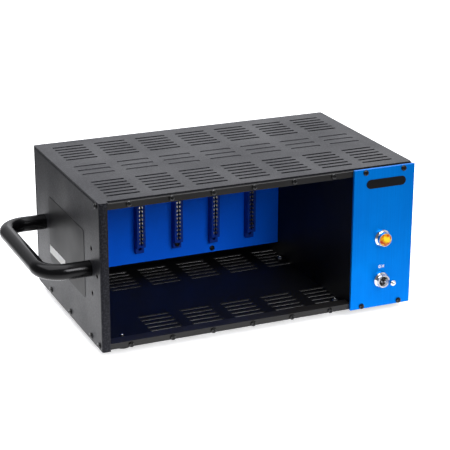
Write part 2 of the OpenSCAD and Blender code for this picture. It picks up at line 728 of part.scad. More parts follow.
// Rear sockets, built around their own axis with local Z toward the back and the front at socket_len
module socket_shell() difference() {
    union() {
        cylinder(r = socket_r - socket_neck, h = socket_len - sheet_t - socket_proud);
        translate([0, 0, back_y - socket_y0 - socket_flange_t / 2])
            cube([socket_flange, socket_flange, socket_flange_t], center = true);
        translate([0, 0, back_y - socket_y0 - eps]) cylinder(r = socket_r, h = sheet_t + socket_proud + eps);
    }
    for (s = [-1, 1])
        translate([s * socket_screw_at, s * socket_screw_at, back_y - socket_y0 - socket_flange_t])
            tapped_hole(socket_flange_t);
}
// Input socket: a shell with a latch button's guide above it
module input_socket(i) color(screw_black) toward_back(slot_x(i), socket_y0, input_z) difference() {
    union() {
        socket_shell();
        translate([-latch_boss_w / 2, -latch_z - latch_boss_h / 2, socket_len - latch_stem - latch_guide])
            cube([latch_boss_w, latch_boss_h + latch_h, latch_stem + latch_guide]);
    }
    translate([0, 0, socket_len - cavity_depth])
        cylinder(r = cavity_r + sleeve_gap, h = cavity_depth + eps);
    translate([
        -latch_w / 2 - latch_gap, -latch_z - latch_h / 2 - latch_gap,
        socket_len - latch_stem - latch_travel - latch_gap
    ])
        cube([
            latch_w + 2 * latch_gap, latch_h + 2 * latch_gap, latch_stem + latch_travel + latch_gap + eps
        ]);
}
// Inserts with pin holes, one in each input socket
module input_inserts() color(screw_black) for (i = slots)
    toward_back(slot_x(i), socket_y0 + socket_len - cavity_depth + press_gap, input_z) difference() {
        cylinder(r = cavity_r - pin_gap, h = cavity_depth - press_gap);
        for (a = pin_angles) rotate(a) translate([pin_circle_r, 0, -eps])
            cylinder(r = pin_r + pin_gap, h = cavity_depth + 2 * eps);
    }
module input_latch(i) color([0.6, 0.6, 0.62]) toward_back(slot_x(i), case_d + socket_proud, input_z) {
    translate([-latch_w / 2, -latch_z - latch_h / 2, -latch_stem])
        cube([latch_w, latch_h, latch_stem + latch_travel + latch_gap + eps]);
    translate([0, -latch_z, latch_travel + latch_gap]) linear_extrude(latch_pad_t)
        stadium(latch_boss_w, latch_boss_h - 2 * latch_gap);
}
// Output socket: an open cavity with three pins standing in it
module output_socket(i) color(screw_black) toward_back(slot_x(i), socket_y0, output_z) {
    difference() {
        socket_shell();
        translate([0, 0, socket_len - cavity_depth]) cylinder(r = cavity_r, h = cavity_depth + eps);
        translate([-key_w / 2, cavity_r - key_depth, socket_len - cavity_depth])
            cube([key_w, 2 * key_depth, cavity_depth + eps]);
    }
    for (a = pin_angles) rotate(a) translate([pin_circle_r, 0, socket_len - cavity_depth - eps]) {
        cylinder(r = pin_r, h = cavity_depth - pin_inset);
        translate([0, 0, cavity_depth - pin_inset]) sphere(r = pin_r);
    }
}
module socket_screws() color(screw_black) {
    for (i = slots, z = [input_z, output_z], s = [-1, 1])
        toward_front(slot_x(i) + s * socket_screw_at, case_d, z - s * socket_screw_at)
            screw(sheet_t + socket_flange_t);
    for (s = [-1, 1])
        toward_front(inlet_x + s * inlet_screw_pitch / 2, case_d + inlet_flange_t, inlet_z)
            screw(inlet_screw_len);
}

// Mains inlet: a flanged shell with a deep keyed recess and three blades
module inlet_outline() {
    w = inlet_w / 2 - inlet_wall;
    h = inlet_h / 2 - inlet_wall;
    c = inlet_chamfer;
    polygon([[-w, -h], [w, -h], [w, h - c], [w - c, h], [c - w, h], [-w, h - c]]);
}
module mains_inlet() color(screw_black) toward_front(inlet_x, case_d, inlet_z) {
    difference() {
        union() {
            translate([-inlet_w / 2, -inlet_h / 2, 0]) cube([inlet_w, inlet_h, inlet_body_d]);
            translate([-inlet_flange_w / 2, -inlet_flange_h / 2, -inlet_flange_t])
                linear_extrude(inlet_flange_t)
                    rounded_rect(0, 0, inlet_flange_w, inlet_flange_h, inlet_corner_r);
        }
        translate([0, 0, -inlet_flange_t - eps]) linear_extrude(inlet_body_d - inlet_wall) inlet_outline();
        for (s = [-1, 1])
            translate([s * inlet_screw_pitch / 2, 0, -inlet_flange_t]) clearance_hole(inlet_flange_t);
    }
    for (b = inlet_blades)
        translate([b[0] - blade_t / 2, b[1] - blade_h / 2, blade_inset])
            cube([blade_t, blade_h, inlet_body_d + blade_tail - blade_inset]);
}

// Toggle switch, lamp and their nuts
module toggle_body() color([0.6, 0.6, 0.62]) {
    difference() {
        union() {
            translate([panel_cx - switch_w / 2, switch_y, toggle_z - switch_h / 2])
                cube([switch_w, switch_d, switch_h]);
            toward_front(panel_cx, switch_y + eps, toggle_z)
                cylinder(r = neck_r, h = switch_y + panel_t + neck_reach);
        }
        toward_front(panel_cx, pivot_y + lever_ball_r + ball_gap, toggle_z)
            cylinder(r = lever_ball_r + ball_gap, h = neck_reach);
        toward_front(panel_cx, pivot_y, toggle_z)
            cylinder(
                r1 = lever_ball_r + ball_gap,
                r2 = neck_r - neck_wall,
                h = panel_t + neck_reach + pivot_y + eps
            );
    }
    toward_right(panel_cx - neck_r + neck_wall, pivot_y, toggle_z)
        cylinder(r = pivot_pin_r, h = 2 * (neck_r - neck_wall));
    for (k = [-1:1])
        translate([panel_cx - tag_w / 2, switch_y + switch_d - eps, toggle_z + k * tag_pitch - tag_t / 2])
            cube([tag_w, tag_len, tag_t]);
}
module toggle_nuts() color(chrome) {
    toward_front(panel_cx, -panel_t, toggle_z) rotate_extrude() polygon([
        [neck_r + thread_gap, 0], [neck_nut_r, 0], [neck_nut_r, 1.8], [neck_nut_r - 0.8, 2.8],
        [neck_r + thread_gap, 3.4]
    ]);
    toward_front(panel_cx, back_nut_t, toggle_z) difference() {
        cylinder(r = back_nut_r, h = back_nut_t, $fn = 6);
        translate([0, 0, -eps]) cylinder(r = neck_r + thread_gap, h = back_nut_t + 2 * eps);
    }
}
module toggle_lever() color(chrome) translate([panel_cx, pivot_y, toggle_z]) rotate([90 - toggle_tilt, 0, 0])
    difference() {
        union() {
            sphere(r = lever_ball_r);
            cylinder(r1 = lever_root_r, r2 = lever_mid_r, h = lever_len - lever_flare);
            translate([0, 0, lever_len - lever_flare - eps])
                cylinder(r1 = lever_mid_r, r2 = lever_tip_r, h = lever_flare + eps);
            translate([0, 0, lever_len]) sphere(r = lever_tip_r);
        }
        rotate([0, 90, 0]) cylinder(r = pivot_pin_r + pivot_gap, h = 2 * lever_ball_r + 1, center = true);
    }
module lamp_bezel() color(chrome) {
    toward_front(panel_cx, -panel_t, lamp_z) rotate_extrude() polygon([
        [jewel_r - jewel_lip, -panel_t - barrel_tail], [barrel_r, -panel_t - barrel_tail], [barrel_r, 0],
        [bezel_r, 0], [bezel_r, 0.9], [bezel_r - 0.8, 1.7], [barrel_r, 2], [barrel_r, bezel_reach],
        [jewel_r + thread_gap, bezel_reach], [jewel_r + thread_gap, bezel_reach - jewel_seat],
        [jewel_r - jewel_lip, bezel_reach - jewel_seat]
    ]);
    toward_front(panel_cx, lamp_nut_t, lamp_z) difference() {
        cylinder(r = lamp_nut_r, h = lamp_nut_t, $fn = 6);
        translate([0, 0, -eps]) cylinder(r = barrel_r + thread_gap, h = lamp_nut_t + 2 * eps);
    }
}
module lamp_jewel() color([1, 0.6, 0.1]) toward_front(panel_cx, jewel_seat - panel_t - bezel_reach, lamp_z) {
    cylinder(r = jewel_r, h = jewel_rim);
    translate([0, 0, jewel_rim - eps]) cylinder(r1 = jewel_r, r2 = jewel_r * 0.52, h = jewel_crown, $fn = 10);
}
module lamp_holder() color([0.1, 0.1, 0.1]) {
    toward_back(panel_cx, barrel_tail - panel_t - bezel_reach, lamp_z)
        cylinder(r = jewel_r - jewel_lip - holder_gap, h = panel_t + bezel_reach + eps);
    toward_back(panel_cx, barrel_tail, lamp_z) cylinder(r = jewel_r, h = holder_len);
    for (s = [-1, 1])
        translate([panel_cx + s * tag_w / 2 - tag_t / 2, barrel_tail + holder_len - eps, lamp_z - tag_w / 4])
            cube([tag_t, tag_len, tag_w / 2]);
}

// Power supply behind the divider
module supply_board() color([0.1, 0.3, 0.16]) difference() {
    translate([supply_x0, supply_y0, supply_z0]) cube([supply_w, supply_len, board_t]);
    for (p = supply_corners) translate([p[0], p[1], supply_z0]) clearance_hole(board_t);
}
module supply_standoffs() color(chrome) for (p = supply_corners) translate([p[0], p[1], sheet_t]) {
    cylinder(r = post_r, h = supply_lift, $fn = 6);
    cylinder(r = screw_r, h = supply_lift + board_t + eps);
    translate([0, 0, supply_lift + board_t]) cylinder(r = screw_head_r, h = screw_head_h);
}
module supply_capacitors() color([0.15, 0.2, 0.4]) for (k = [0:capacitor_count - 1])
    translate([
        supply_x0 + capacitor_r + 2.5,
        supply_y0 + supply_len / 2 + (k - 1) * capacitor_pitch,
        supply_z1
    ])
        rotate_extrude() polygon([
            [0, 0], [capacitor_r - 0.5, 0], [capacitor_r, 0.5], [capacitor_r, capacitor_h - 1],
            [capacitor_r - 0.8, capacitor_h], [0, capacitor_h]
        ]);
module supply_heatsink() color([0.3, 0.3, 0.3])
    translate([supply_x0 + supply_w - heatsink_w - supply_edge, supply_y0 + heatsink_inset, supply_z1])
        linear_extrude(heatsink_h) {
            square([heatsink_t, heatsink_len]);
            for (k = [0:fin_count - 1])
                translate([heatsink_t - eps, k * (heatsink_len - fin_t) / (fin_count - 1)])
                    square([heatsink_w - heatsink_t, fin_t]);
        }
module ring_transformer() color([0.75, 0.6, 0.15]) translate([supply_cx, ring_y, sheet_t]) rotate_extrude()
    difference() {
        translate([ring_r / 3, 0]) square([ring_r * 2 / 3, ring_h]);
        for (z = [0, ring_h]) translate([ring_r, z]) rotate(45) square(ring_bevel, center = true);
    }
module transformer_bolt() color(chrome) translate([supply_cx, ring_y, sheet_t]) {
    cylinder(r = ring_bolt_r, h = ring_h + ring_washer_t);
    translate([0, 0, ring_h]) cylinder(r = ring_r * 0.7, h = ring_washer_t);
    translate([0, 0, ring_h + ring_washer_t - eps]) cylinder(r = ring_nut_r, h = ring_nut_t, $fn = 6);
}

in_frame() base_panel();
in_frame() top_cover();
in_frame() left_side_panel();
in_frame() right_side_panel();
in_frame() rear_panel();
in_frame() top_front_rail();
in_frame() bottom_front_rail();
in_frame() bay_divider();
in_frame() power_panel();
in_frame() carry_handle();
in_frame() handle_bolts();
in_frame() rubber_feet();
in_frame() foot_screws();
in_frame() front_screws();
in_frame() case_screws();
in_frame() ear_inserts();
in_frame() backplane_plate();
in_frame() backplane_board();
in_frame() backplane_posts();
in_frame() plate_screws();
in_frame() card_contacts();
in_frame() input_inserts();
in_frame() socket_screws();
in_frame() mains_inlet();
in_frame() toggle_body();
in_frame() toggle_nuts();
in_frame() toggle_lever();
in_frame() lamp_bezel();
in_frame() lamp_jewel();
in_frame() lamp_holder();
in_frame() supply_board();
in_frame() supply_standoffs();
in_frame() supply_capacitors();
in_frame() supply_heatsink();
in_frame() ring_transformer();
in_frame() transformer_bolt();
for (i = slots) {
    in_frame() card_connector(i);
    in_frame() input_socket(i);
    in_frame() input_latch(i);
    in_frame() output_socket(i);
}
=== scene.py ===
"""Dresses the desktop audio module rack.

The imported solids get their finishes, and the small trim that sits on them is added.
"""

import json
import logging
import math
from dataclasses import dataclass, field, replace
from enum import Enum

import bpy
import numpy as np
from mathutils import Matrix, Vector
from numpy.typing import ArrayLike

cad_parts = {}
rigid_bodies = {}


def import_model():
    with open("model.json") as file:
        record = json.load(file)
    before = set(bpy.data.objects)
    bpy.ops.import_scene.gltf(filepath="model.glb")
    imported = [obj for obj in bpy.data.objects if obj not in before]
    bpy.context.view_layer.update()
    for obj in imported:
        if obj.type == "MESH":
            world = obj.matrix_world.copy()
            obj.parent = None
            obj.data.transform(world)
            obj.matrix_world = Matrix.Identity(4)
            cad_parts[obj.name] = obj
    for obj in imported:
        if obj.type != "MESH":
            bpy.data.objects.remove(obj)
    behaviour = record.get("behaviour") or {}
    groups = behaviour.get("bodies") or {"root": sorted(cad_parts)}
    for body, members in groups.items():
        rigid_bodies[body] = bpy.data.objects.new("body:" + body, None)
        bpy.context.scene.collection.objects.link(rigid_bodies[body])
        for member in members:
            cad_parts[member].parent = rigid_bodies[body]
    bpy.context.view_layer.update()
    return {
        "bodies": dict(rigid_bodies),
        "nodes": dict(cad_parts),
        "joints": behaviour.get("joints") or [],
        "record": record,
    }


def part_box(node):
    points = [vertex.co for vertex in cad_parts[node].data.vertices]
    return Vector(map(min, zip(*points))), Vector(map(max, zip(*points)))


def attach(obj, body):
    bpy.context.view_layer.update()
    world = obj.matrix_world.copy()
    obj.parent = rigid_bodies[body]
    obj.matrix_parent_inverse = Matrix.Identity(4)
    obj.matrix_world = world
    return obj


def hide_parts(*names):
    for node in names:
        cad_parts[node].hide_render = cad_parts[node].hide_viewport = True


LOG = logging.getLogger("rack")
MM = 0.001
QUARTER = math.pi / 2
BOTH_WAYS = np.array([-1.0, 1.0])
BLACK, WHITE = (0.0, 0.0, 0.0, 1.0), (1.0, 1.0, 1.0, 1.0)

# The sRGB curve: a straight foot up to the knee, and a shifted power above it.
SRGB_KNEE, SRGB_FOOT, SRGB_SHIFT, SRGB_POWER = 0.04045, 12.92, 0.055, 2.4
# Numbers of a Mix node's colour sockets, whose names aren't unique.
MIX_A, MIX_B, MIX_OUT = 6, 7, 2
# A Map Range node's limits in order, and the setting for one that eases in and out.
FROM_TO = ("From Min", "From Max", "To Min", "To Max")
SMOOTH = {"interpolation_type": "SMOOTHSTEP"}
# How each finish uses its two noise patterns.
GRAIN_DETAIL, GRAIN_ROUGHNESS, GRAIN_SHARE, PATCH_DETAIL = 3.0, 0.6, 0.55, 4.0
TINT_RANGE, GLOSS_RANGE, CREST_HIGHLIGHT_RANGE = (0.5, 1.0), (0.3, 0.7), (0.46, 0.64)
LEAST_ROUGHNESS = 0.02
EDGE_SAMPLES = 6
# Radians that a diagonal wave of scale 1 turns for each metre along an axis.
WAVE_RATE = 10.0
# Edges of a new piece that turn by more than this stay sharp.
SHARP_DEG = 40.0
# Rings of a plate's rolled edge, and how many edge radii in from the outline its flat face starts.
ROLL_RINGS, FACE_INSET = 4, 1.5

Tree = bpy.types.NodeTree
Node = bpy.types.Node
Socket = bpy.types.NodeSocket
Pair = tuple[float, float]
Triple = tuple[float, float, float]


class Grain(Enum):
    """Which way a finish's pattern runs: stretch factors for X, Y and Z."""

    ROUND = (1.0, 1.0, 1.0)
    UPRIGHT = (1.0, 1.0, 0.012)


class Way(Enum):
    """Which way a piece faces: a direction of the frame."""

    LEFT = (-1.0, 0.0, 0.0)
    RIGHT = (1.0, 0.0, 0.0)
    FRONT = (0.0, -1.0, 0.0)
    BACK = (0.0, 1.0, 0.0)
    UP = (0.0, 0.0, 1.0)

    def turns(self, spin: np.ndarray) -> np.ndarray:
        """Rotation matrices that take local +Z this way, each after a spin about it.

        With no spin, local X points up on a wall, and right on a piece that faces up.

        Args:
            spin: Angles about local Z in radians, one for each copy.

        Returns:
            One 3 by 3 matrix for each copy.
        """
        outward = np.array(self.value)
        side = np.array((Way.RIGHT if self is Way.UP else Way.UP).value)
        across = np.cross(outward, side)
        cos, sin = np.cos(spin)[:, None], np.sin(spin)[:, None]
        ahead = np.broadcast_to(outward, (len(spin), 3))
        return np.stack([cos * side + sin * across, cos * across - sin * side, ahead], -1)


def linear(hex_colour: str) -> tuple[float, float, float, float]:
    """Turns an sRGB hex value into linear RGBA.

    Args:
        hex_colour: Six hex digits, with or without a leading hash.

    Returns:
        Red, green, blue and alpha for a shader socket.
    """
    digits = hex_colour.lstrip("#")
    parts = np.array([int(digits[i : i + 2], 16) for i in (0, 2, 4)]) / 255
    low, high = parts / SRGB_FOOT, ((parts + SRGB_SHIFT) / (1 + SRGB_SHIFT)) ** SRGB_POWER
    return (*(float(v) for v in np.where(parts <= SRGB_KNEE, low, high)), 1.0)


def add_node(
    tree: Tree, kind: str, settings: dict | None = None, links: dict | None = None
) -> Node:
    """Adds a node with its settings and incoming links.

    Args:
        tree: Node tree to add to.
        kind: The node's type name after ShaderNode.
        settings: Values by property name, or by input name or number.
        links: Sockets, or nodes whose first output is meant, by the input that they feed.

    Returns:
        The new node.
    """
    node = tree.nodes.new(f"ShaderNode{kind}")
    for key, value in (settings or {}).items():
        if isinstance(key, str) and hasattr(node, key):
            setattr(node, key, value)
        else:
            node.inputs[key].default_value = value
    for key, source in (links or {}).items():
        socket = source if isinstance(source, Socket) else source.outputs[0]
        tree.links.new(socket, node.inputs[key])
    return node


def fresh_tree(owner: bpy.types.Material | bpy.types.World) -> Tree:
    """Gives a new material or world an empty node tree.

    Args:
        owner: The material or world.

    Returns:
        Its node tree.
    """
    owner.use_nodes = True
    owner.node_tree.nodes.clear()
    return owner.node_tree


def new_object(name: str, data: bpy.types.ID) -> bpy.types.Object:
    """Adds an object to the scene.

    Args:
        name: The object's name.
        data: The mesh, lamp or camera that it carries.

    Returns:
        The object, at the origin.
    """
    obj = bpy.data.objects.new(name, data)
    bpy.context.scene.collection.objects.link(obj)
    return obj


@dataclass(frozen=True)
class Finish:
    """A surface finish: a Principled shader whose colour, gloss and relief follow real patterns.

    A fine grain gives the relief, and broad patches change the colour and the gloss. A finish may
    also paint a highlight on the grain's crests, a paler colour there.
    """

    name: str
    colour: str
    drift: str
    roughness: float
    metallic: float = 0.0
    grain: Grain = Grain.ROUND
    grain_mm: float = 1.0
    relief_mm: float = 0.01
    patch_mm: float = 60.0
    gloss_spread: float = 0.06
    specular: float = 0.5
    edge_mm: float = 0.0
    reflection_tint: str = "#FFFFFF"
    crest_highlight: str = ""

    def build(self) -> bpy.types.Material:
        """Makes the material.

        Returns:
            The material, ready for a slot.
        """
        material = bpy.data.materials.new(self.name)
        tree = fresh_tree(material)
        shader = add_node(tree, "BsdfPrincipled", {"Metallic": self.metallic})
        if self.metallic < 1:
            shader.inputs["Specular IOR Level"].default_value = self.specular
            # The reflections' colour: bluish on the powder coat, a painted cool cast of the light.
            shader.inputs["Specular Tint"].default_value = linear(self.reflection_tint)
        self.paint(tree, shader, add_node(tree, "TexCoord").outputs["Object"])
        add_node(tree, "OutputMaterial", links={"Surface": shader})
        return material

    def paint(self, tree: Tree, shader: Node, place: Socket) -> None:
        """Links the finish's patterns to the shader.

        Args:
            tree: The material's node tree.
            shader: Its Principled shader.
            place: Object coordinates in metres.
        """
        run = add_node(tree, "Mapping", {"Scale": self.grain.value}, {"Vector": place})
        fine = {"Scale": 1 / (self.grain_mm * MM), "Detail": GRAIN_DETAIL}
        grain = add_node(
            tree, "TexNoise", {**fine, "Roughness": GRAIN_ROUGHNESS}, {"Vector": run}
        )
        broad = {"Scale": 1 / (self.patch_mm * MM), "Detail": PATCH_DETAIL}
        patch = add_node(tree, "TexNoise", broad, {"Vector": place})
        tree.links.new(self.tint(tree, place, grain, patch), shader.inputs["Base Color"])
        tree.links.new(self.gloss(tree, patch), shader.inputs["Roughness"])
        tree.links.new(self.relief(tree, grain), shader.inputs["Normal"])

    def tint(self, tree: Tree, place: Socket, grain: Node, patch: Node) -> Socket:
        """The colour, which drifts from patch to patch and gets a painted highlight on the grain's
        crests.

        Args:
            tree: The material's node tree.
            place: Object coordinates in metres, for a finish that draws more; not used here.
            grain: The fine pattern.
            patch: The broad pattern.

        Returns:
            The colour's socket.
        """
        blended = {"operation": "MULTIPLY_ADD", 1: GRAIN_SHARE, "use_clamp": True}
        blend = add_node(tree, "Math", blended, {0: grain, 2: patch})
        share = add_node(tree, "MapRange", dict(zip(FROM_TO, TINT_RANGE)), {"Value": blend})
        shades = {"data_type": "RGBA", MIX_A: linear(self.colour), MIX_B: linear(self.drift)}
        shade = add_node(tree, "Mix", shades, {0: share}).outputs[MIX_OUT]
        # Painted highlight: the grain's crests turn toward a paler colour.
        if self.crest_highlight:
            crests = add_node(tree, "MapRange", dict(zip(FROM_TO, CREST_HIGHLIGHT_RANGE)), {"Value": grain})
            highlight_mix = {"data_type": "RGBA", MIX_B: linear(self.crest_highlight)}
            shade = add_node(tree, "Mix", highlight_mix, {0: crests, MIX_A: shade}).outputs[MIX_OUT]
        return shade

    def gloss(self, tree: Tree, patch: Node) -> Socket:
        """The roughness, which strays by the finish's spread from patch to patch.

        Args:
            tree: The material's node tree.
            patch: The broad pattern.

        Returns:
            The roughness's socket.
        """
        least = max(LEAST_ROUGHNESS, self.roughness - self.gloss_spread)
        span = dict(zip(FROM_TO, (*GLOSS_RANGE, least, self.roughness + self.gloss_spread)))
        return add_node(tree, "MapRange", span, {"Value": patch}).outputs["Result"]

    def relief(self, tree: Tree, grain: Node) -> Socket:
        """The grain's bumps, over sharp edges that the finish rounds a little.

        Args:
            tree: The material's node tree.
            grain: The fine pattern.

        Returns:
            The normal's socket.
        """
        height = {"Strength": 1.0, "Distance": self.relief_mm * MM}
        bump = add_node(tree, "Bump", height, {"Height": grain})
        if self.edge_mm:
            rounding = {"samples": EDGE_SAMPLES, "Radius": self.edge_mm * MM}
            edge = add_node(tree, "Bevel", rounding)
            tree.links.new(edge.outputs["Normal"], bump.inputs["Normal"])
        return bump.outputs["Normal"]


@dataclass(frozen=True)
class LitJewel(Finish):
    """Clear amber lit from behind: bright yellow over the bulb, deep orange toward the rim."""

    centre_mm: Triple = (0.0, 0.0, 0.0)
    reach_mm: float = 5.6
    cut_mm: float = 2.4
    cut_depth: float = 0.75
    glow_gain: float = 1.5
    glow_strength: float = 1.0
    bulb: str = "#FFE22E"
    rim: str = "#B42E02"

    def paint(self, tree: Tree, shader: Node, place: Socket) -> None:
        """Adds the glow, which falls off from the lamp's axis and steps from cut to cut.

        Args:
            tree: The material's node tree.
            shader: Its Principled shader.
            place: Object coordinates in metres.
        """
        super().paint(tree, shader, place)
        scale = 1 / (self.reach_mm * MM)
        x, _, z = (-v * MM * scale for v in self.centre_mm)
        about = {"Location": (x, 0.0, z), "Scale": (scale, 0.0, scale)}
        local = add_node(tree, "Mapping", about, {"Vector": place})
        fall = add_node(tree, "TexGradient", {"gradient_type": "SPHERICAL"}, {"Vector": local})
        cuts = add_node(tree, "TexVoronoi", {"Scale": 1 / (self.cut_mm * MM)}, {"Vector": place})
        span = dict(zip(FROM_TO, (0.0, 1.0, -self.cut_depth, self.cut_depth)))
        step = add_node(tree, "MapRange", span, {"Value": cuts.outputs["Color"]})
        summed = {"operation": "MULTIPLY_ADD", 1: self.glow_gain, "use_clamp": True}
        light = add_node(tree, "Math", summed, {0: fall.outputs["Fac"], 2: step})
        shades = {"data_type": "RGBA", MIX_A: linear(self.rim), MIX_B: linear(self.bulb)}
        glow = add_node(tree, "Mix", shades, {0: light})
        tree.links.new(glow.outputs[MIX_OUT], shader.inputs["Emission Color"])
        shader.inputs["Emission Strength"].default_value = self.glow_strength


@dataclass(frozen=True)
class Laminate(Finish):
    """Lacquered circuit board: copper tracks show through as lines of its second, paler green."""

    track_mm: float = 2.54
    waver: float = 1.5
    track_edge: Pair = (0.72, 0.8)

    def tint(self, tree: Tree, place: Socket, grain: Node, patch: Node) -> Socket:
        """The colour: wavering diagonal tracks, one for every second pin along an axis.

        Args:
            tree: The material's node tree.
            place: Object coordinates in metres.
            grain: The fine pattern, which the tracks don't follow.
            patch: The broad pattern, which they don't follow either.

        Returns:
            The colour's socket.
        """
        bands = {
            "wave_type": "BANDS",
            "bands_direction": "DIAGONAL",
            "Scale": math.pi / (WAVE_RATE * self.track_mm * MM),
            "Distortion": self.waver,
        }
        tracks = add_node(tree, "TexWave", bands, {"Vector": place}).outputs["Fac"]
        step = add_node(tree, "MapRange", dict(zip(FROM_TO, self.track_edge)), {"Value": tracks})
        shades = {"data_type": "RGBA", MIX_A: linear(self.colour), MIX_B: linear(self.drift)}
        return add_node(tree, "Mix", shades, {0: step}).outputs[MIX_OUT]


# Powder coat on steel sheet: baked satin black with a fine orange peel, drawn coarser than its 0.3
# mm to show, and a painted highlight in a paler grey on the peel's crests.
# Its reflections carry a bluish painted tint, a cool cast of the light.
POWDER_COAT = Finish(
    "satin_black_powder_coat", "#050506", "#0A0A0C", 0.42, grain_mm=1.7, relief_mm=0.12,
    specular=0.215, edge_mm=0.2, reflection_tint="#EDEFFF", crest_highlight="#28282C",
)
# The same coat where the spray gun hardly reached, inside the bay: drier, so it mirrors less.
INNER_COAT = Finish(
    "matt_black_powder_coat", "#070709", "#0E0E10", 0.48, grain_mm=1.4, relief_mm=0.10,
    specular=0.12, edge_mm=0.2,
)
# Enamel on the bar rails: thinner and a little browner, so the bar's edges stay crisp.
RAIL_ENAMEL = Finish(
    "satin_black_rail_enamel", "#131212", "#1B1A19", 0.36, grain_mm=1.6, relief_mm=0.008,
    specular=0.30, edge_mm=0.4,
)
# Anodised aluminium, brushed upright: fine streaks, drawn at 0.7 mm so that they show.
BLUE_ANODISED = Finish(
    "brushed_blue_anodised_aluminium", "#007EDE", "#006ECA", 0.44, metallic=0.65,
    grain=Grain.UPRIGHT, grain_mm=0.7, relief_mm=0.006, gloss_spread=0.05, specular=0.03,
)
# The backplane's aluminium, blasted and dyed so deep that no metal shines through: an even blue.
BLUE_BLASTED = Finish(
    "blasted_blue_anodised_aluminium", "#036CFF", "#0263F0", 0.42, grain_mm=0.9,
    relief_mm=0.006, specular=0.1,
)
# Gloss enamel on the handle's steel bar: near black with clear reflections and a faint wave.
HANDLE_ENAMEL = Finish(
    "gloss_black_handle_enamel", "#040405", "#09090A", 0.20, grain_mm=3.0, relief_mm=0.008,
    specular=0.19,
)
# Black oxide on screw steel: dark metal that still mirrors at its edges.
BLACK_OXIDE = Finish(
    "black_oxide_steel", "#3E3E3E", "#2D2D2D", 0.18, metallic=0.9, grain_mm=0.6, patch_mm=5.0
)
# The inserts' oxide, darker and flatter than the screws': flat black, so they read as dark holes
# in the wall.
MATT_OXIDE = Finish(
    "matt_black_oxide_steel", "#131313", "#1B1B1B", 0.55, metallic=0.5, grain_mm=0.6, specular=0.1
)
# Zinc plate: bright grey metal, a little cloudy.
ZINC = Finish(
    "bright_zinc_plate", "#B9BABC", "#9EA0A4", 0.30, metallic=1.0, grain_mm=0.8, patch_mm=4.0
)
# Moulded rubber: matt dark grey with a dusty bloom.
RUBBER = Finish(
    "moulded_grey_rubber", "#2B2B2B", "#3A3A39", 0.80, grain_mm=0.5, relief_mm=0.03, patch_mm=8.0
)
# Moulded thermoset of the card connectors: deep blue with a soft sheen.
CONNECTOR_BLUE = Finish(
    "moulded_blue_connector_plastic", "#08389E", "#062E88", 0.48, grain_mm=0.6, patch_mm=12.0,
    specular=0.2,
)
# Tin over the bronze of the contacts: pale and dull bright.
TIN = Finish(
    "tinned_contact", "#DAD8D2", "#C2BFB8", 0.28, metallic=1.0, grain_mm=0.5, patch_mm=3.0
)
# Glass laminate of the circuit boards under green lacquer.
LAMINATE = Laminate("green_circuit_laminate", "#1C5A30", "#3F7A45", 0.35, grain_mm=0.8)
# Moulded black plastic with a fine spark-eroded texture, drawn at 0.5 mm.
BLACK_PLASTIC = Finish(
    "moulded_black_plastic", "#141415", "#1D1D1F", 0.46, grain_mm=0.5, relief_mm=0.02
)
# Chrome plate: mirror bright, with the faint unevenness of the turned brass below it.
CHROME = Finish(
    "polished_chrome_plate", "#D6D8DB", "#C6C9CE", 0.10, metallic=1.0, grain_mm=2.0,
    relief_mm=0.002, patch_mm=6.0, gloss_spread=0.03,
)
# Shrunk plastic sleeve of the capacitors: dark blue and tight, with a clear gloss.
SLEEVE = Finish(
    "shrunk_capacitor_sleeve", "#141C3C", "#0F1530", 0.28, grain_mm=4.0, patch_mm=15.0
)
# Black anodised aluminium of the heatsink: dark grey with a satin metal sheen.
BLACK_ANODISED = Finish(
    "black_anodised_aluminium", "#191A1C", "#24252A", 0.42, metallic=0.6, grain_mm=0.6
)
# Polyester tape wound over the transformer: its overlapping turns show as soft ridges.
TAPE = Finish(
    "wound_yellow_tape", "#C79A1E", "#A67C12", 0.36, grain_mm=5.0, relief_mm=0.15, patch_mm=10.0
)
# Vinyl overlay, left bare: a little smoother and blacker than the wall that it sticks to.
OVERLAY = Finish(
    "matt_black_vinyl_overlay", "#09090B", "#101012", 0.44, grain_mm=0.8, relief_mm=0.006,
    specular=0.13,
)
# Paper label with a matt varnish: an even white.
PAPER = Finish(
    "white_paper_label", "#FCFCFA", "#F0F0EC", 0.60, grain_mm=0.5, relief_mm=0.004, patch_mm=6.0
)
# Silk-screened ink: white and slightly raised.
WHITE_INK = Finish(
    "white_screen_ink", "#F2F4F6", "#E2E6EA", 0.50, grain_mm=0.4, relief_mm=0.002, patch_mm=3.0
)
# Moulded amber lens of the lamp, lit: uneven in its cuts, under a smooth skin.
AMBER_JEWEL = LitJewel(
    "lit_amber_jewel", "#5A2002", "#4A1801", 0.16, grain_mm=2.0, specular=0.12
)

SLOT_FINISHES: dict[str, Finish] = {
    "black_powder_coat": POWDER_COAT,
    "black_rail": RAIL_ENAMEL,
    "blue_anodised": BLUE_ANODISED,
    "gloss_black_enamel": HANDLE_ENAMEL,
    "black_oxide_steel": BLACK_OXIDE,
    "zinc_steel": ZINC,
    "grey_rubber": RUBBER,
    "blue_connector_plastic": CONNECTOR_BLUE,
    "tinned_contact": TIN,
    "circuit_laminate": LAMINATE,
    "black_plastic": BLACK_PLASTIC,
    "chrome_plate": CHROME,
    "capacitor_sleeve": SLEEVE,
    "black_anodised": BLACK_ANODISED,
    "winding_tape": TAPE,
}

NODE_FINISHES: dict[str, Finish] = {
    "backplane_plate": BLUE_BLASTED,
    "base_panel": INNER_COAT,
    "bay_divider": INNER_COAT,
    "ear_inserts": MATT_OXIDE,
}


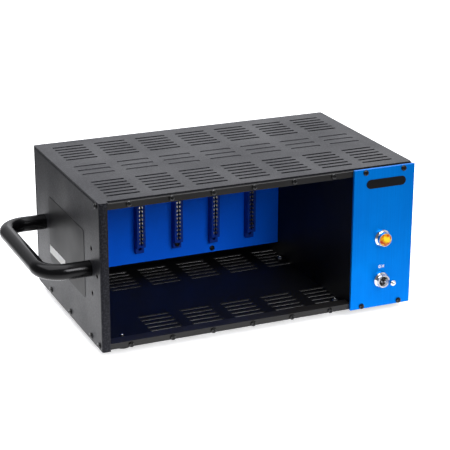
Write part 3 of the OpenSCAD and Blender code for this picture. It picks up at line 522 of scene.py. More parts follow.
@dataclass
class Surface:
    """A mesh in millimetres: points, quads, and the triangles that close its poles."""

    points: np.ndarray
    quads: np.ndarray
    fans: np.ndarray

    @classmethod
    def skin(
        cls, rings: np.ndarray, start: ArrayLike | None = None, end: ArrayLike | None = None
    ) -> "Surface":
        """Covers successive closed rings with quads, and closes each end that has a pole.

        Point (i, j) joins (i, j+1), (i+1, j+1) and (i+1, j), where j wraps round. Seen from
        outside, a ring's points run anticlockwise about the way from the first ring to the last.

        Args:
            rings: Points by ring and place on the ring.
            start: Pole before the first ring, if that end is closed.
            end: Pole after the last ring, if that end is closed.

        Returns:
            The surface.
        """
        rows, cols = rings.shape[:2]
        index = np.arange(rows * cols).reshape(rows, cols)
        after = np.roll(index, -1, axis=1)
        quads = np.stack([index[:-1], after[:-1], after[1:], index[1:]], -1).reshape(-1, 4)
        points, fans = [rings.reshape(-1, 3)], [np.empty((0, 3), int)]
        for pole, ring, turn in ((start, 0, 1), (end, -1, -1)):
            if pole is not None:
                tip = np.full(cols, sum(len(p) for p in points))
                fans.append(np.stack([tip, after[ring], index[ring]][::turn], -1))
                points.append(np.asarray(pole, float).reshape(1, 3))
        return cls(np.concatenate(points), quads, np.concatenate(fans))

    @classmethod
    def joined(cls, *parts: "Surface") -> "Surface":
        """Makes several surfaces one: each one's indices move past the points before it.

        Args:
            *parts: The surfaces, in order.

        Returns:
            The whole.
        """
        start = np.cumsum([0] + [len(p.points) for p in parts[:-1]])
        return cls(
            np.concatenate([p.points for p in parts]),
            np.concatenate([p.quads + s for p, s in zip(parts, start)]),
            np.concatenate([p.fans + s for p, s in zip(parts, start)]),
        )

    def facing(self, way: Way, seats: np.ndarray, spin: ArrayLike = 0.0) -> "Surface":
        """Copies the surface to several seats: each point p becomes turn times p, plus the seat.

        Args:
            way: The way that local +Z points in every copy.
            seats: Where each copy's origin goes, in case millimetres.
            spin: Angles about local Z in radians, one for all the copies or one for each.

        Returns:
            All the copies as one surface.
        """
        turns = way.turns(np.broadcast_to(spin, len(seats)))
        points = np.einsum("sij,pj->spi", turns, self.points) + seats[:, None]
        step = len(self.points) * np.arange(len(seats))[:, None, None]
        quads, fans = self.quads + step, self.fans + step
        return Surface(points.reshape(-1, 3), quads.reshape(-1, 4), fans.reshape(-1, 3))

    def piece(self, name: str, material: bpy.types.Material) -> bpy.types.Object:
        """Makes the surface an object of the scene, in metres.

        Args:
            name: The piece's name.
            material: Its finish.

        Returns:
            The object, at the origin.
        """
        mesh = bpy.data.meshes.new(name)
        faces = self.quads.tolist() + self.fans.tolist()
        mesh.from_pydata((self.points * MM).tolist(), [], faces)
        mesh.polygons.foreach_set("use_smooth", np.ones(len(mesh.polygons), bool))
        mesh.set_sharp_from_angle(angle=math.radians(SHARP_DEG))
        mesh.materials.append(material)
        return new_object(name, mesh)


def spots(x: ArrayLike, y: ArrayLike, z: ArrayLike) -> np.ndarray:
    """Every combination of the given X, Y and Z values, as points."""
    return np.stack(np.meshgrid(x, y, z, indexing="ij"), -1).reshape(-1, 3).astype(float)


def ends(inset: float, whole: float) -> np.ndarray:
    """The two places that lie an inset from the ends of a whole."""
    return np.array([inset, whole - inset])


def around(count: int) -> np.ndarray:
    """Evenly spaced angles of one full turn, in radians."""
    return np.arange(count) * 2 * math.pi / count


def turned(radius: np.ndarray, level: ArrayLike, angle: np.ndarray) -> np.ndarray:
    """Rings about local Z: the point at angle a is (r cos a, r sin a, z).

    Args:
        radius: The radius r of each ring, or of each point of each ring.
        level: The height z, likewise.
        angle: The angles a of a ring's points.

    Returns:
        Points by ring and place on the ring.
    """
    shape = len(radius), len(angle)
    r, z = (np.broadcast_to(np.reshape(v, (len(v), -1)), shape) for v in (radius, level))
    return np.stack([r * np.cos(angle), r * np.sin(angle), z], -1)


def lifted(loops: np.ndarray, levels: ArrayLike) -> np.ndarray:
    """Flat loops raised to their levels: point (x, y) of loop k becomes (x, y, level k)."""
    height = np.broadcast_to(np.reshape(levels, (-1, 1, 1)), (*loops.shape[:2], 1))
    return np.concatenate([loops, height], -1)


def rounded_outline(width: float, height: float, radius: float, steps: int = 8) -> np.ndarray:
    """A rounded rectangle about the origin: quarter circles, and straight sides between them.

    Args:
        width: Full width.
        height: Full height.
        radius: Corner radius.
        steps: Points on each corner.

    Returns:
        Points as X and Y, anticlockwise.
    """
    angle = (np.arange(4)[:, None] + np.linspace(0, 1, steps)) * QUARTER
    reach = np.array([width / 2 - radius, height / 2 - radius])
    corner = np.array([[1, 1], [-1, 1], [-1, -1], [1, -1]]) * reach
    arc = radius * np.stack([np.cos(angle), np.sin(angle)], -1)
    return (corner[:, None] + arc).reshape(-1, 2)


def rounded_plate(
    width: float, height: float, radius: float, thick: float, edge: float
) -> Surface:
    """A thin plate: the outline rises from its seat, rolls over an edge and closes in the middle.

    A ring of the rolled edge is the outline drawn in by edge times 1 - cos(a), at a height of
    thick - edge plus edge times sin(a), for a from 0 to a quarter turn. One more ring, a little
    further in, keeps the face flat.

    Args:
        width: Full width along local X.
        height: Full height along local Y.
        radius: Corner radius.
        thick: Height along local Z.
        edge: Radius of the rolled edge.

    Returns:
        The plate, with its seat at local Z = 0.
    """
    angle = np.linspace(0, QUARTER, ROLL_RINGS)
    inset = np.concatenate([[0.0], edge * (1 - np.cos(angle)), [FACE_INSET * edge]])
    level = np.concatenate([[0.0], thick - edge + edge * np.sin(angle), [thick]])
    shrink = 1 - 2 * inset[:, None] / np.array([width, height])
    loops = rounded_outline(width, height, radius) * shrink[:, None]
    return Surface.skin(lifted(loops, level), (0, 0, 0), (0, 0, thick))


@dataclass
class Rack:
    """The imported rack: its datum, its materials, and the sizes that several pieces share.

    Sizes are in millimetres, from the case's front left bottom corner.
    """

    frame: dict
    slot_pitch: float = 38.1
    first_slot: float = 7.4
    slots: int = 6
    card_offset: float = 12.4
    case_h: float = 133.35
    case_d: float = 184.0
    case_w: float = 297.0
    panel_t: float = 2.5
    panel_cx: float = 266.5
    inlet_x: float = 262.3
    input_z: float = 94.0
    output_z: float = 47.0
    lamp_z: float = 66.6
    bulb_shift: Triple = (-0.8, -6.5, 0.9)
    datum: np.ndarray = field(init=False)
    materials: dict[str, bpy.types.Material] = field(init=False, default_factory=dict)

    def __post_init__(self) -> None:
        """Takes the datum from the solids that meet at the case's corner."""
        nodes = "left_side_panel", "top_front_rail", "base_panel"
        left, rail, base = (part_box(n)[0] for n in nodes)
        self.datum = np.array([left.x, rail.y, base.z]) / MM

    def slot_x(self) -> np.ndarray:
        """The slots' middles along X."""
        return self.first_slot + (np.arange(self.slots) + 0.5) * self.slot_pitch

    def card_x(self) -> np.ndarray:
        """The card connectors' middles along X."""
        return self.slot_x() - self.card_offset

    def on_panel(self, shift: float, z: float) -> np.ndarray:
        """A seat on the power panel's front, shifted along X from its middle."""
        return np.array([[self.panel_cx + shift, -self.panel_t, z]])

    def bulb(self) -> Triple:
        """The bulb's place behind the lamp's lens, in the frame's millimetres."""
        seat = self.datum + self.on_panel(0.0, self.lamp_z)[0]
        return tuple(float(v) for v in seat + self.bulb_shift)

    def material(self, finish: Finish) -> bpy.types.Material:
        """Makes a finish's material the first time that it is asked for.

        Args:
            finish: The finish.

        Returns:
            Its material.
        """
        if finish.name not in self.materials:
            self.materials[finish.name] = finish.build()
        return self.materials[finish.name]

    def dress_solids(self, jewel: Finish) -> None:
        """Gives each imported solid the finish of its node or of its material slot.

        Args:
            jewel: The lit lens's finish, which depends on where the lamp is.
        """
        finishes = {**SLOT_FINISHES, "amber_jewel": jewel}
        for part in self.frame["record"]["subparts"]:
            obj = self.frame["nodes"][part["node"]]
            finish = NODE_FINISHES.get(part["node"], finishes[part["material_slot"]])
            material = self.material(finish)
            if not obj.material_slots:
                obj.data.materials.append(material)
            for slot in obj.material_slots:
                slot.material = material

    def mount(
        self,
        surface: Surface,
        name: str,
        finish: Finish,
        slot: str | None = None,
        replaces: str | None = None,
    ) -> None:
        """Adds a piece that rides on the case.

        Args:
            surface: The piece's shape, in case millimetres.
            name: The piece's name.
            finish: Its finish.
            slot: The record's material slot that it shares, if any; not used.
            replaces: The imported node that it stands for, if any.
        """
        shifted = Surface(surface.points + self.datum, surface.quads, surface.fans)
        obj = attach(shifted.piece(name, self.material(finish)), "case")
        if replaces:
            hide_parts(replaces)
        LOG.info("piece %s: %d faces", name, len(obj.data.polygons))


@dataclass(frozen=True)
class CrossScrew:
    """A pan-head machine screw with a cross recess, along local Z with its head up."""

    shank_r: float = 1.4
    head_r: float = 2.6
    head_h: float = 1.6
    side_h: float = 0.6
    dome_rs: Pair = (2.35, 1.9)
    dome_reach: float = 0.92
    arm: float = 1.35
    arm_w: float = 0.36
    arm_bend: float = 0.47
    recess: float = 0.9
    recess_draft: float = 0.75
    tip_rings: int = 7
    tip_facets: int = 20

    def shape(self, length: float) -> Surface:
        """The screw: rings from the shank's end over the head to the recess's floor.

        At radius r the dome's height is side_h, plus head_h - side_h times the square root of
        1 - (dome_reach r / head_r) squared. The recess's edge is a cross in polar form: the larger
        of two bars' reach, each the smaller of arm / |cos| and arm_w / |sin|.

        Args:
            length: Shank length under the head.

        Returns:
            The screw with the head's underside at Z = 0.
        """
        tip, bend = math.atan2(self.arm_w, self.arm), self.arm_bend
        floor = self.head_h - self.recess
        corner = np.array([0.0, tip, bend, QUARTER / 2, QUARTER - bend, QUARTER - tip])
        angle = (np.arange(4)[:, None] * QUARTER + corner).ravel()
        least = np.finfo(float).eps
        cos, sin = (np.maximum(np.abs(f(angle)), least) for f in (np.cos, np.sin))
        bars = (np.minimum(self.arm / a, self.arm_w / b) for a, b in ((cos, sin), (sin, cos)))
        cross = np.maximum(*bars)
        below = np.array([-length, 0.0, 0.0, self.side_h])
        round_r = np.array([self.shank_r, self.shank_r, self.head_r, self.head_r, *self.dome_rs])
        radius = np.concatenate(
            [np.repeat(round_r[:, None], len(angle), 1), [cross, self.recess_draft * cross]]
        )
        dome = np.sqrt(1 - (self.dome_reach * radius / self.head_r) ** 2)
        level = self.side_h + (self.head_h - self.side_h) * dome
        level[: len(below)] = below[:, None]
        level[-1] = floor
        return Surface.skin(turned(radius, level, angle), (0, 0, -length), (0, 0, floor))

    def tip(self, height: float) -> Surface:
        """The rounded end of a shank: half an ellipsoid that stands on its flat side.

        Args:
            height: How far the tip rises.

        Returns:
            The tip along local Z.
        """
        rise = np.linspace(0, QUARTER, self.tip_rings)[:-1]
        radius, level = self.shank_r * np.cos(rise), height * np.sin(rise)
        rings = turned(radius, level, around(self.tip_facets))
        return Surface.skin(rings, (0, 0, 0), (0, 0, height))


@dataclass
class Screws:
    """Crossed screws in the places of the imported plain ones, and the tips of the foot screws."""

    rack: Rack
    screw: CrossScrew = CrossScrew()
    seed: int = 5
    rail_len: float = 7.0
    rail_y: float = 7.0
    rail_z: float = 3.85
    row_z: float = 3.175
    panel_half: float = 19.05
    sheet_len: float = 6.0
    side_ys: Triple = (-64.0, -6.0, 51.5)
    side_z: float = 4.6
    rear_x: float = 5.9
    rear_z: float = 22.0
    base_shares: Triple = (0.22, 0.5, 0.88)
    base_z: float = 6.4
    divider_len: float = 2.4
    divider_x: float = 232.9
    divider_ys: Pair = (21.0, 138.9)
    divider_z: float = 2.4
    socket_len: float = 3.2
    socket_at: float = 10.4
    inlet_len: float = 5.0
    inlet_half: float = 20.0
    inlet_proud: float = 2.6
    inlet_z: float = 38.0
    plate_y: float = 154.0
    post_cards: tuple[int, int] = (1, 4)
    post_zs: Pair = (18.0, 125.0)
    ear_len: float = 6.1
    ear_card: int = 3
    ear_t: float = 4.6
    ear_z: float = 64.3
    ear_half: float = 35.0
    foot_x: float = 26.2
    foot_insets: Pair = (23.6, 20.0)
    tip_z: float = 2.8
    tip_h: float = 1.0

    def group(self, length: float, seats: np.ndarray, way: Way) -> Surface:
        """Screws of one length, each turned to where the screwdriver left it.

        Args:
            length: Shank length under the head.
            seats: Middle of each head's underside, in case millimetres.
            way: The way that the heads point.

        Returns:
            The screws as one surface.
        """
        spin = np.random.default_rng(self.seed).uniform(0, QUARTER, len(seats))
        return self.screw.shape(length).facing(way, seats, spin)

    def stand_for(self, node: str, *groups: Surface) -> None:
        """Mounts blackened screws in place of a node of plain ones."""
        screws = Surface.joined(*groups)
        self.rack.mount(screws, f"{node}_crossed", BLACK_OXIDE, "black_oxide_steel", node)

    def front(self) -> None:
        """Makes the screws of the rails and of the power panel."""
        rack = self.rack
        rows = ends(self.row_z, rack.case_h)
        panel_x = rack.panel_cx + self.panel_half * BOTH_WAYS
        panel = spots(panel_x, -rack.panel_t, rows)
        self.stand_for(
            "front_screws",
            self.group(self.rail_len, spots(rack.slot_x(), 0, rows), Way.FRONT),
            self.group(self.rail_len + rack.panel_t, panel, Way.FRONT),
        )

    def case(self) -> None:
        """Makes the screws of the side walls, of the rear panel and, behind, of the posts."""
        rack, groups = self.rack, []
        side_y = rack.case_d / 2 + np.array(self.side_ys)
        rail_z = ends(self.rail_z, rack.case_h)
        for x, way in ((0.0, Way.LEFT), (rack.case_w, Way.RIGHT)):
            groups.append(self.group(self.sheet_len, spots(x, side_y, self.side_z), way))
            groups.append(self.group(self.rail_len, spots(x, self.rail_y, rail_z), way))
        edge_z = (self.rear_z, rack.case_h / 2, rack.case_h - self.rear_z)
        rear = np.concatenate([
            spots(ends(self.rear_x, rack.case_w), rack.case_d, edge_z),
            spots(rack.case_w * np.array(self.base_shares), rack.case_d, self.base_z),
            spots(self.post_x(), rack.case_d, self.post_zs),
        ])
        self.stand_for("case_screws", *groups, self.group(self.sheet_len, rear, Way.BACK))

    def divider(self) -> None:
        """Makes the bright screws of the divider's floor tabs."""
        seats = spots(self.divider_x, self.divider_ys, self.divider_z)
        screws = self.group(self.divider_len, seats, Way.UP)
        self.rack.mount(screws, "divider_screws_crossed", ZINC, "zinc_steel")

    def sockets(self) -> None:
        """Makes the screws of the sockets, at two corners of each, and of the mains inlet."""
        rack = self.rack
        rows = np.array([rack.input_z, rack.output_z])
        pairs = np.concatenate([
            spots(rack.slot_x() + shift, rack.case_d, rows - shift)
            for shift in self.socket_at * BOTH_WAYS
        ])
        inlet_x = rack.inlet_x + self.inlet_half * BOTH_WAYS
        inlet = spots(inlet_x, rack.case_d + self.inlet_proud, self.inlet_z)
        self.stand_for(
            "socket_screws",
            self.group(self.socket_len, pairs, Way.BACK),
            self.group(self.inlet_len, inlet, Way.BACK),
        )

    def post_x(self) -> np.ndarray:
        """The places of the backplane's posts along X."""
        return self.rack.card_x()[list(self.post_cards)]

    def backplane(self) -> None:
        """Makes the screws of the backplane's posts, and of one card connector's ears."""
        posts = spots(self.post_x(), self.plate_y, self.post_zs)
        ear_x = self.rack.card_x()[self.ear_card]
        ears = spots(ear_x, self.plate_y - self.ear_t, self.ear_z + self.ear_half * BOTH_WAYS)
        self.stand_for(
            "plate_screws",
            self.group(self.sheet_len, posts, Way.FRONT),
            self.group(self.ear_len, ears, Way.FRONT),
        )

    def feet(self) -> None:
        """Makes the tips of the foot screws, which stand up through the base."""
        rack, (front, rear) = self.rack, self.foot_insets
        seats = spots(ends(self.foot_x, rack.case_w), (front, rack.case_d - rear), self.tip_z)
        tips = self.screw.tip(self.tip_h).facing(Way.UP, seats)
        rack.mount(tips, "foot_screw_tips", ZINC, "zinc_steel")

    def build(self) -> None:
        """Makes each group in turn."""
        for make in (self.front, self.case, self.divider, self.sockets, self.backplane, self.feet):
            make()


@dataclass
class SideLabel:
    """Bare overlay on the left wall, and the paper strip across its lower rear corner."""

    rack: Rack
    overlay: Pair = (101.0, 62.7)
    overlay_at: Pair = (91.8, 65.65)
    overlay_t: float = 0.25
    overlay_corner: float = 4.0
    overlay_edge: float = 0.1
    strip: Pair = (45.5, 7.6)
    strip_at: Pair = (119.2, 46.0)
    strip_t: float = 0.12
    strip_corner: float = 0.8
    strip_edge: float = 0.04

    def build(self) -> None:
        """Makes both plates, the overlay on the wall's outer face and the strip on the overlay."""
        overlay = rounded_plate(
            *self.overlay, self.overlay_corner, self.overlay_t, self.overlay_edge
        )
        strip = rounded_plate(*self.strip, self.strip_corner, self.strip_t, self.strip_edge)
        for name, plate, lift, at, finish in (
            ("side_overlay", overlay, 0.0, self.overlay_at, OVERLAY),
            ("side_paper_strip", strip, self.overlay_t, self.strip_at, PAPER),
        ):
            placed = plate.facing(Way.LEFT, np.array([[-lift, *at]]), QUARTER)
            self.rack.mount(placed, name, finish)


@dataclass
class PanelTrim:
    """What the power panel carries: a bare badge plate, and the switch's word, thread and seal."""

    rack: Rack
    badge: Pair = (39.5, 8.4)
    badge_at: Pair = (1.8, 118.9)
    badge_t: float = 0.5
    badge_edge: float = 0.15
    badge_flat: float = 0.05
    word_z: float = 39.2
    letter_h: float = 2.9
    letter_w: float = 2.3
    letter_shift: float = 0.72
    letter_flat: float = 0.02
    letter_steps: int = 7
    stroke: float = 0.62
    stroke_lap: float = 0.6
    stroke_corner: float = 0.04
    ink: float = 0.06
    ink_edge: float = 0.02
    neck_r: float = 5.9
    neck_z: float = 26.5
    thread_lift: float = 0.01
    thread_span: Pair = (3.45, 5.98)
    thread_pitch: float = 0.75
    thread_depth: float = 0.22
    thread_fade: float = 0.25
    thread_grid: tuple[int, int] = (34, 48)
    seal_span: Pair = (4.6, 3.1)
    seal_facets: int = 32
    mouth_zs: Pair = (3.0, 6.0)
    mouth_rs: Pair = (2.62, 4.66)

    def letter_o(self) -> Surface:
        """A ring: the outline and its inset at the ink's height, closed down to the panel.

        Returns:
            The letter about the local origin.
        """
        sizes = [(self.letter_w - 2 * s, self.letter_h - 2 * s) for s in (0.0, self.stroke)]
        outer, inner = (
            rounded_outline(w, h, w / 2 - self.letter_flat, self.letter_steps) for w, h in sizes
        )
        loops = np.stack([outer, outer, inner, inner])
        return Surface.skin(lifted(loops, (0.0, self.ink, self.ink, 0.0)))

    def letter_n(self) -> Surface:
        """Two uprights and a diagonal: three flat bars, each a rounded plate.

        Returns:
            The letter about the local origin.
        """
        across, along = self.letter_w - self.stroke, self.letter_h - self.stroke
        slant_len = math.hypot(across, along) + self.stroke * self.stroke_lap
        upright, slant = (
            rounded_plate(self.stroke, length, self.stroke_corner, self.ink, self.ink_edge)
            for length in (self.letter_h, slant_len)
        )
        return Surface.joined(
            upright.facing(Way.UP, spots(across / 2 * BOTH_WAYS, 0, 0)),
            slant.facing(Way.UP, np.zeros((1, 3)), math.atan2(across, along)),
        )

    def neck_thread(self) -> Surface:
        """A helical ridge on the bare end of the neck.

        At height z and angle a the radius is the neck's, plus the depth times a triangle wave of
        z / pitch - a / (2 pi), faded out at both ends.

        Returns:
            The thread as an open sleeve along local Z.
        """
        (low, high), (rows, cols) = self.thread_span, self.thread_grid
        level, angle = np.linspace(low, high, rows), around(cols)
        turn = level[:, None] / self.thread_pitch - angle / (2 * math.pi)
        wave = np.abs((turn % 1) * 2 - 1)
        fade = np.clip(np.minimum(level - low, high - level) / self.thread_fade, 0, 1)
        radius = self.neck_r + self.thread_lift + self.thread_depth * wave * fade[:, None]
        return Surface.skin(turned(radius, level, angle))

    def neck_seal(self) -> Surface:
        """A dark funnel just inside the neck's mouth: its radius grows evenly toward the mouth.

        Returns:
            The funnel along local Z, facing its own axis.
        """
        radius = np.interp(self.seal_span, self.mouth_zs, self.mouth_rs)
        return Surface.skin(turned(radius, self.seal_span, around(self.seal_facets)))

    def build(self) -> None:
        """Makes the badge, the word, the thread and the seal on the panel's front."""
        rack, front = self.rack, Way.FRONT
        corner = self.badge[1] / 2 - self.badge_flat
        badge = rounded_plate(*self.badge, corner, self.badge_t, self.badge_edge)
        placed = badge.facing(front, rack.on_panel(*self.badge_at), -QUARTER)
        rack.mount(placed, "badge_plate", OVERLAY)
        shift = self.letter_w * self.letter_shift
        word = Surface.joined(
            self.letter_o().facing(front, rack.on_panel(-shift, self.word_z), -QUARTER),
            self.letter_n().facing(front, rack.on_panel(shift, self.word_z), -QUARTER),
        )
        rack.mount(word, "switch_word_on", WHITE_INK)
        neck = rack.on_panel(0.0, self.neck_z)
        thread, seal = self.neck_thread().facing(front, neck), self.neck_seal().facing(front, neck)
        rack.mount(thread, "switch_neck_thread", CHROME, "chrome_plate")
        rack.mount(seal, "switch_neck_seal", BLACK_PLASTIC, "black_plastic")


@dataclass
class SocketMetal:
    """Metal in the rear sockets: the outputs' pins, the inputs' sleeves and the inlet's blades."""

    rack: Rack
    facets: int = 16
    nose_rings: int = 6
    pin_r: float = 1.18
    pin_inset: float = 2.2
    pin_len: float = 14.0
    pin_circle_r: float = 4.4
    pin_angles: Triple = (30.0, 150.0, 270.0)
    mouth_y: float = 184.8
    sleeve_rs: Pair = (1.28, 1.0)
    sleeve_span: Pair = (-9.0, -0.6)
    blade: Pair = (2.06, 4.06)
    blade_edge: float = 0.5
    blade_len: float = 18.0
    blade_y: float = 164.0
    blade_xs: Triple = (-7.0, 0.0, 7.0)
    blade_zs: Triple = (36.0, 40.0, 36.0)

    def pin(self) -> Surface:
        """A round-nosed pin: a cylinder and half a sphere, a hair larger than the solid below it.

        Returns:
            The pin along local Z, with the socket's mouth at Z = 0.
        """
        nose = np.linspace(0, QUARTER, self.nose_rings)[:-1]
        radius = self.pin_r * np.concatenate([[1.0], np.cos(nose)])
        level = np.concatenate([[-self.pin_len], self.pin_r * np.sin(nose) - self.pin_inset])
        rings = turned(radius, level, around(self.facets))
        return Surface.skin(rings, end=(0, 0, self.pin_r - self.pin_inset))

    def sleeve(self) -> Surface:
        """A contact sleeve in a pin hole: a thin ring whose lip lies just inside the mouth.

        Returns:
            The sleeve along local Z, with the socket's mouth at Z = 0.
        """
        (outer, inner), (low, lip) = self.sleeve_rs, self.sleeve_span
        radius, level = np.array([outer, outer, inner, inner]), (low, lip, lip, low)
        return Surface.skin(turned(radius, level, around(self.facets)))

    def build(self) -> None:
        """Places the pins and sleeves on their circles, and plates the blades."""
        rack, angle = self.rack, np.radians(self.pin_angles)
        ring = self.pin_circle_r * np.stack([np.cos(angle), 0 * angle, -np.sin(angle)], -1)
        for name, shape, z in (
            ("output_pins", self.pin(), rack.output_z),
            ("input_sleeves", self.sleeve(), rack.input_z),
        ):
            middles = spots(rack.slot_x(), self.mouth_y, z)
            seats = (middles[:, None] + ring).reshape(-1, 3)
            rack.mount(shape.facing(Way.BACK, seats), name, TIN, "tinned_contact")
        blade = rounded_plate(*self.blade, self.blade_edge, self.blade_len, self.blade_edge)
        blade_x = rack.inlet_x + np.array(self.blade_xs)
        seats = np.stack([blade_x, np.full(3, self.blade_y), self.blade_zs], -1)
        rack.mount(blade.facing(Way.BACK, seats, QUARTER), "inlet_blades", ZINC, "zinc_steel")


@dataclass(frozen=True)
class Lamp:
    """A square soft lamp: its place and side in metres, and its power in watts."""

    name: str
    place: Triple
    side: float
    watts: float


@dataclass
class Studio:
    """Pale floor, white surroundings, three soft lamps and the camera, in metres and degrees."""

    eye: Triple = (-0.49968, -1.20206, 0.5412)
    azimuth: float = -23.5207
    elevation: float = 19.5074
    roll: float = -0.158
    lens: float = 121.36
    sensor: float = 36.0
    shift: Pair = (-0.00165, -0.00276)
    clip: Pair = (0.05, 50.0)
    floor_half: float = 6.0
    floor_front: float = -0.62
    floor_middle: Triple = (0.05, 0.08, 0.0)
    floor_colour: str = "#F4F4F4"
    floor_dull: str = "#808080"
    floor_lift: Pair = (0.68, 0.8)
    lift_reach: Pair = (0.5, 2.5)
    mirrored_lift: Pair = (1.1, 0.5)
    mirrored_reach: float = 0.3
    fade_reach: Pair = (0.2, 0.5)
    fade_most: float = 0.8
    shade_lift: float = 0.14
    shade_edge: float = 0.02
    shade_middle: Triple = (0.0245, 0.0245, 0.0)
    shade_half: Triple = (0.13, 0.065, 0.0)
    sky_tint: tuple[float, float, float, float] = (0.955, 0.96, 1.0, 1.0)
    sky_soft: float = 0.5
    sky_way: Triple = (0.9, 0.44, 0.0)
    sky_reach: Pair = (-0.3, 0.7)
    sky_levels: Pair = (0.2, 1.0)
    lamp_tint: Triple = (0.96, 0.965, 1.0)
    lamp_target: Triple = (0.02, 0.0, 0.06)
    lamps: tuple[Lamp, ...] = (
        Lamp("overhead_softbox", (-0.35, 0.05, 1.2), 1.3, 18.0),
        Lamp("back_softbox", (0.7, 1.5, 1.0), 1.0, 3.0),
        Lamp("front_right_softbox", (0.4, -1.5, 1.03), 0.75, 24.0),
    )

    def camera(self) -> None:
        """Sets the camera at the measured place, turned by azimuth, elevation and roll."""
        data = bpy.data.cameras.new("camera")
        data.sensor_width, data.lens = self.sensor, self.lens
        data.shift_x, data.shift_y = self.shift
        data.clip_start, data.clip_end = self.clip
        turn = (
            Matrix.Rotation(math.radians(self.azimuth), 4, "Z")
            @ Matrix.Rotation(math.radians(90 - self.elevation), 4, "X")
            @ Matrix.Rotation(math.radians(-self.roll), 4, "Z")
        )
        obj = new_object("camera", data)
        obj.matrix_world = Matrix.Translation(self.eye) @ turn
        bpy.context.scene.camera = obj

    @staticmethod
    def shown(tree: Tree, path: Node) -> Node:
        """One for rays that show a surface: to the camera, in a reflection or through glass.

        Args:
            tree: Node tree to add to.
            path: Its Light Path node.

        Returns:
            The factor's node, which gives nothing for other rays.
        """
        every = path.outputs["Is Camera Ray"]
        for ray in ("Is Glossy Ray", "Is Transmission Ray"):
            pair = {0: every, 1: path.outputs[ray]}
            every = add_node(tree, "Math", {"operation": "MAXIMUM"}, pair)
        return every

    def beside_shade(self, tree: Tree, place: Socket) -> Socket:
        """How far a point p of the floor lies outside the shaded patch.

        It is the length of max(|p - middle| - half, 0), worked out for each axis on its own.

        Args:
            tree: Node tree to add to.
            place: Object coordinates in metres.

        Returns:
            The distance's socket.
        """
        for settings in (
            {"operation": "SUBTRACT", 1: self.shade_middle},
            {"operation": "ABSOLUTE"},
            {"operation": "SUBTRACT", 1: self.shade_half},
            {"operation": "MAXIMUM", 1: (0.0, 0.0, 0.0)},
        ):
            place = add_node(tree, "VectorMath", settings, {0: place}).outputs["Vector"]
        return add_node(tree, "VectorMath", {"operation": "LENGTH"}, {0: place}).outputs["Value"]

    def floor_body(self, tree: Tree, path: Node, fade: Node) -> Node:
        """The floor's matt body, duller in the light that it throws back at the rack.

        Args:
            tree: Node tree to add to.
            path: Its Light Path node.
            fade: How far the floor darkens in a reflection.

        Returns:
            The shader.
        """
        ray = path.outputs["Is Diffuse Ray"]
        colours = {MIX_A: linear(self.floor_colour), MIX_B: linear(self.floor_dull)}
        dull = add_node(tree, "Mix", {"data_type": "RGBA", **colours}, {0: ray}).outputs[MIX_OUT]
        matt = add_node(tree, "Mix", {"data_type": "RGBA", MIX_B: BLACK}, {0: fade, MIX_A: dull})
        return add_node(tree, "BsdfDiffuse", links={"Color": matt.outputs[MIX_OUT]})

    def floor_level(self, tree: Tree, path: Node, reach: Socket, beside: Socket) -> Node:
        """How strongly the floor glows: evenly white to the camera, but in shade under the rack.

        In a reflection it is brightest under the rack and falls off beside it.

        Args:
            tree: Node tree to add to.
            path: Its Light Path node.
            reach: Distance from the floor's middle.
            beside: Distance from the shaded patch.

        Returns:
            The strength's node.
        """
        seen = path.outputs["Is Camera Ray"]
        rays = {0: self.shown(tree, path), 1: seen}
        aside = add_node(tree, "Math", {"operation": "SUBTRACT"}, rays)
        span = dict(zip(FROM_TO, (0.0, self.mirrored_reach, *self.mirrored_lift)))
        sheen = add_node(tree, "MapRange", span, {"Value": beside})
        mirrored = add_node(tree, "Math", {"operation": "MULTIPLY"}, {0: aside, 1: sheen})
        span = dict(zip(FROM_TO, (*self.lift_reach, *self.floor_lift)))
        evened = add_node(tree, "MapRange", span, {"Value": reach})
        span = dict(zip(FROM_TO, (0.0, self.shade_edge, self.shade_lift)))
        shaded = add_node(tree, "MapRange", span, {"Value": beside, "To Max": evened})
        terms = {0: seen, 1: shaded, 2: mirrored}
        return add_node(tree, "Math", {"operation": "MULTIPLY_ADD"}, terms)

    def floor_material(self) -> bpy.types.Material:
        """White paint with a glow of its own, darker in reflections away from the middle.

        Returns:
            The material.
        """
        material = bpy.data.materials.new("pale_floor")
        tree = fresh_tree(material)
        path = add_node(tree, "LightPath")
        place = add_node(tree, "TexCoord").outputs["Object"]
        away = {"operation": "DISTANCE", 1: self.floor_middle}
        reach = add_node(tree, "VectorMath", away, {0: place}).outputs["Value"]
        span = dict(zip(FROM_TO, (*self.fade_reach, 0.0, self.fade_most)))
        far = add_node(tree, "MapRange", {**span, **SMOOTH}, {"Value": reach})
        rays = {0: far, 1: path.outputs["Is Glossy Ray"]}
        fade = add_node(tree, "Math", {"operation": "MULTIPLY"}, rays)
        colours = {MIX_A: linear(self.floor_colour), MIX_B: BLACK}
        tone = add_node(tree, "Mix", {"data_type": "RGBA", **colours}, {0: fade}).outputs[MIX_OUT]
        level = self.floor_level(tree, path, reach, self.beside_shade(tree, place))
        glow = add_node(tree, "Emission", links={"Color": tone, "Strength": level})
        both = add_node(tree, "AddShader", links={0: self.floor_body(tree, path, fade), 1: glow})
        add_node(tree, "OutputMaterial", links={"Surface": both})
        return material

    def floor(self) -> None:
        """Lays the floor, which ends in front of the rack, outside the camera's view."""
        mesh = bpy.data.meshes.new("floor")
        half, front = self.floor_half, self.floor_front
        rim = [(-half, front, 0), (half, front, 0), (half, half, 0), (-half, half, 0)]
        mesh.from_pydata(rim, [], [(0, 1, 2, 3)])
        mesh.materials.append(self.floor_material())
        new_object("floor", mesh)

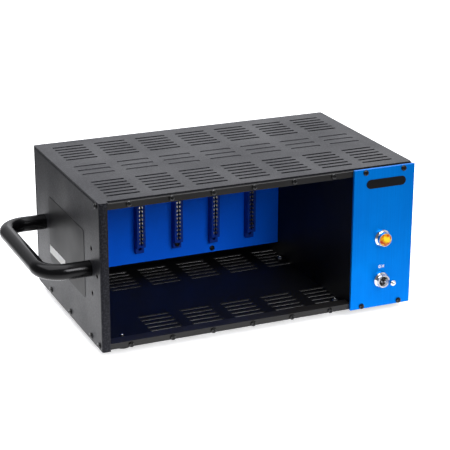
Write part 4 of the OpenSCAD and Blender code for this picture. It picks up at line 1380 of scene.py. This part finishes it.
    def surroundings(self) -> None:
        """Sets the world: soft, white to the camera, dimmer at the front left in reflections."""
        world = bpy.data.worlds.new("surroundings")
        tree = fresh_tree(world)
        path = add_node(tree, "LightPath")
        seen = path.outputs["Is Camera Ray"]
        place = add_node(tree, "TexCoord").outputs["Generated"]
        along = {"operation": "DOT_PRODUCT", 1: self.sky_way}
        way = add_node(tree, "VectorMath", along, {0: place}).outputs["Value"]
        span = dict(zip(FROM_TO, (*self.sky_reach, *self.sky_levels)))
        deep = add_node(tree, "MapRange", {**span, **SMOOTH}, {"Value": way})
        bright = add_node(tree, "Math", {"operation": "MAXIMUM"}, {0: deep, 1: seen})
        rays = {"Value": self.shown(tree, path), "To Max": bright}
        level = add_node(tree, "MapRange", {"To Min": self.sky_soft}, rays)
        tints = {"data_type": "RGBA", MIX_A: self.sky_tint, MIX_B: WHITE}
        tone = add_node(tree, "Mix", tints, {0: seen}).outputs[MIX_OUT]
        sky = add_node(tree, "Background", links={"Color": tone, "Strength": level})
        add_node(tree, "OutputWorld", links={"Surface": sky})
        bpy.context.scene.world = world

    def hang(self, lamp: Lamp) -> None:
        """Adds a lamp that faces the rack's middle.

        Args:
            lamp: The lamp.
        """
        data = bpy.data.lights.new(lamp.name, "AREA")
        data.shape, data.size, data.energy = "SQUARE", lamp.side, lamp.watts
        data.color = self.lamp_tint
        aim = (Vector(self.lamp_target) - Vector(lamp.place)).to_track_quat("-Z", "Y")
        obj = new_object(lamp.name, data)
        obj.matrix_world = Matrix.Translation(lamp.place) @ aim.to_matrix().to_4x4()

    def build(self) -> None:
        """Sets up the floor, the light and the camera."""
        self.floor()
        self.surroundings()
        for lamp in self.lamps:
            self.hang(lamp)
        self.camera()
        bpy.context.scene.view_settings.view_transform = "Standard"


def main() -> None:
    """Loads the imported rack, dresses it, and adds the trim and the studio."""
    logging.basicConfig(level=logging.INFO, format="%(name)s: %(message)s")
    for obj in list(bpy.data.objects):
        bpy.data.objects.remove(obj)
    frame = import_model()
    rack = Rack(frame)
    rack.dress_solids(replace(AMBER_JEWEL, centre_mm=rack.bulb()))
    for assembly in (Screws(rack), SideLabel(rack), PanelTrim(rack), SocketMetal(rack)):
        assembly.build()
    Studio().build()


if __name__ == "__main__":
    main()
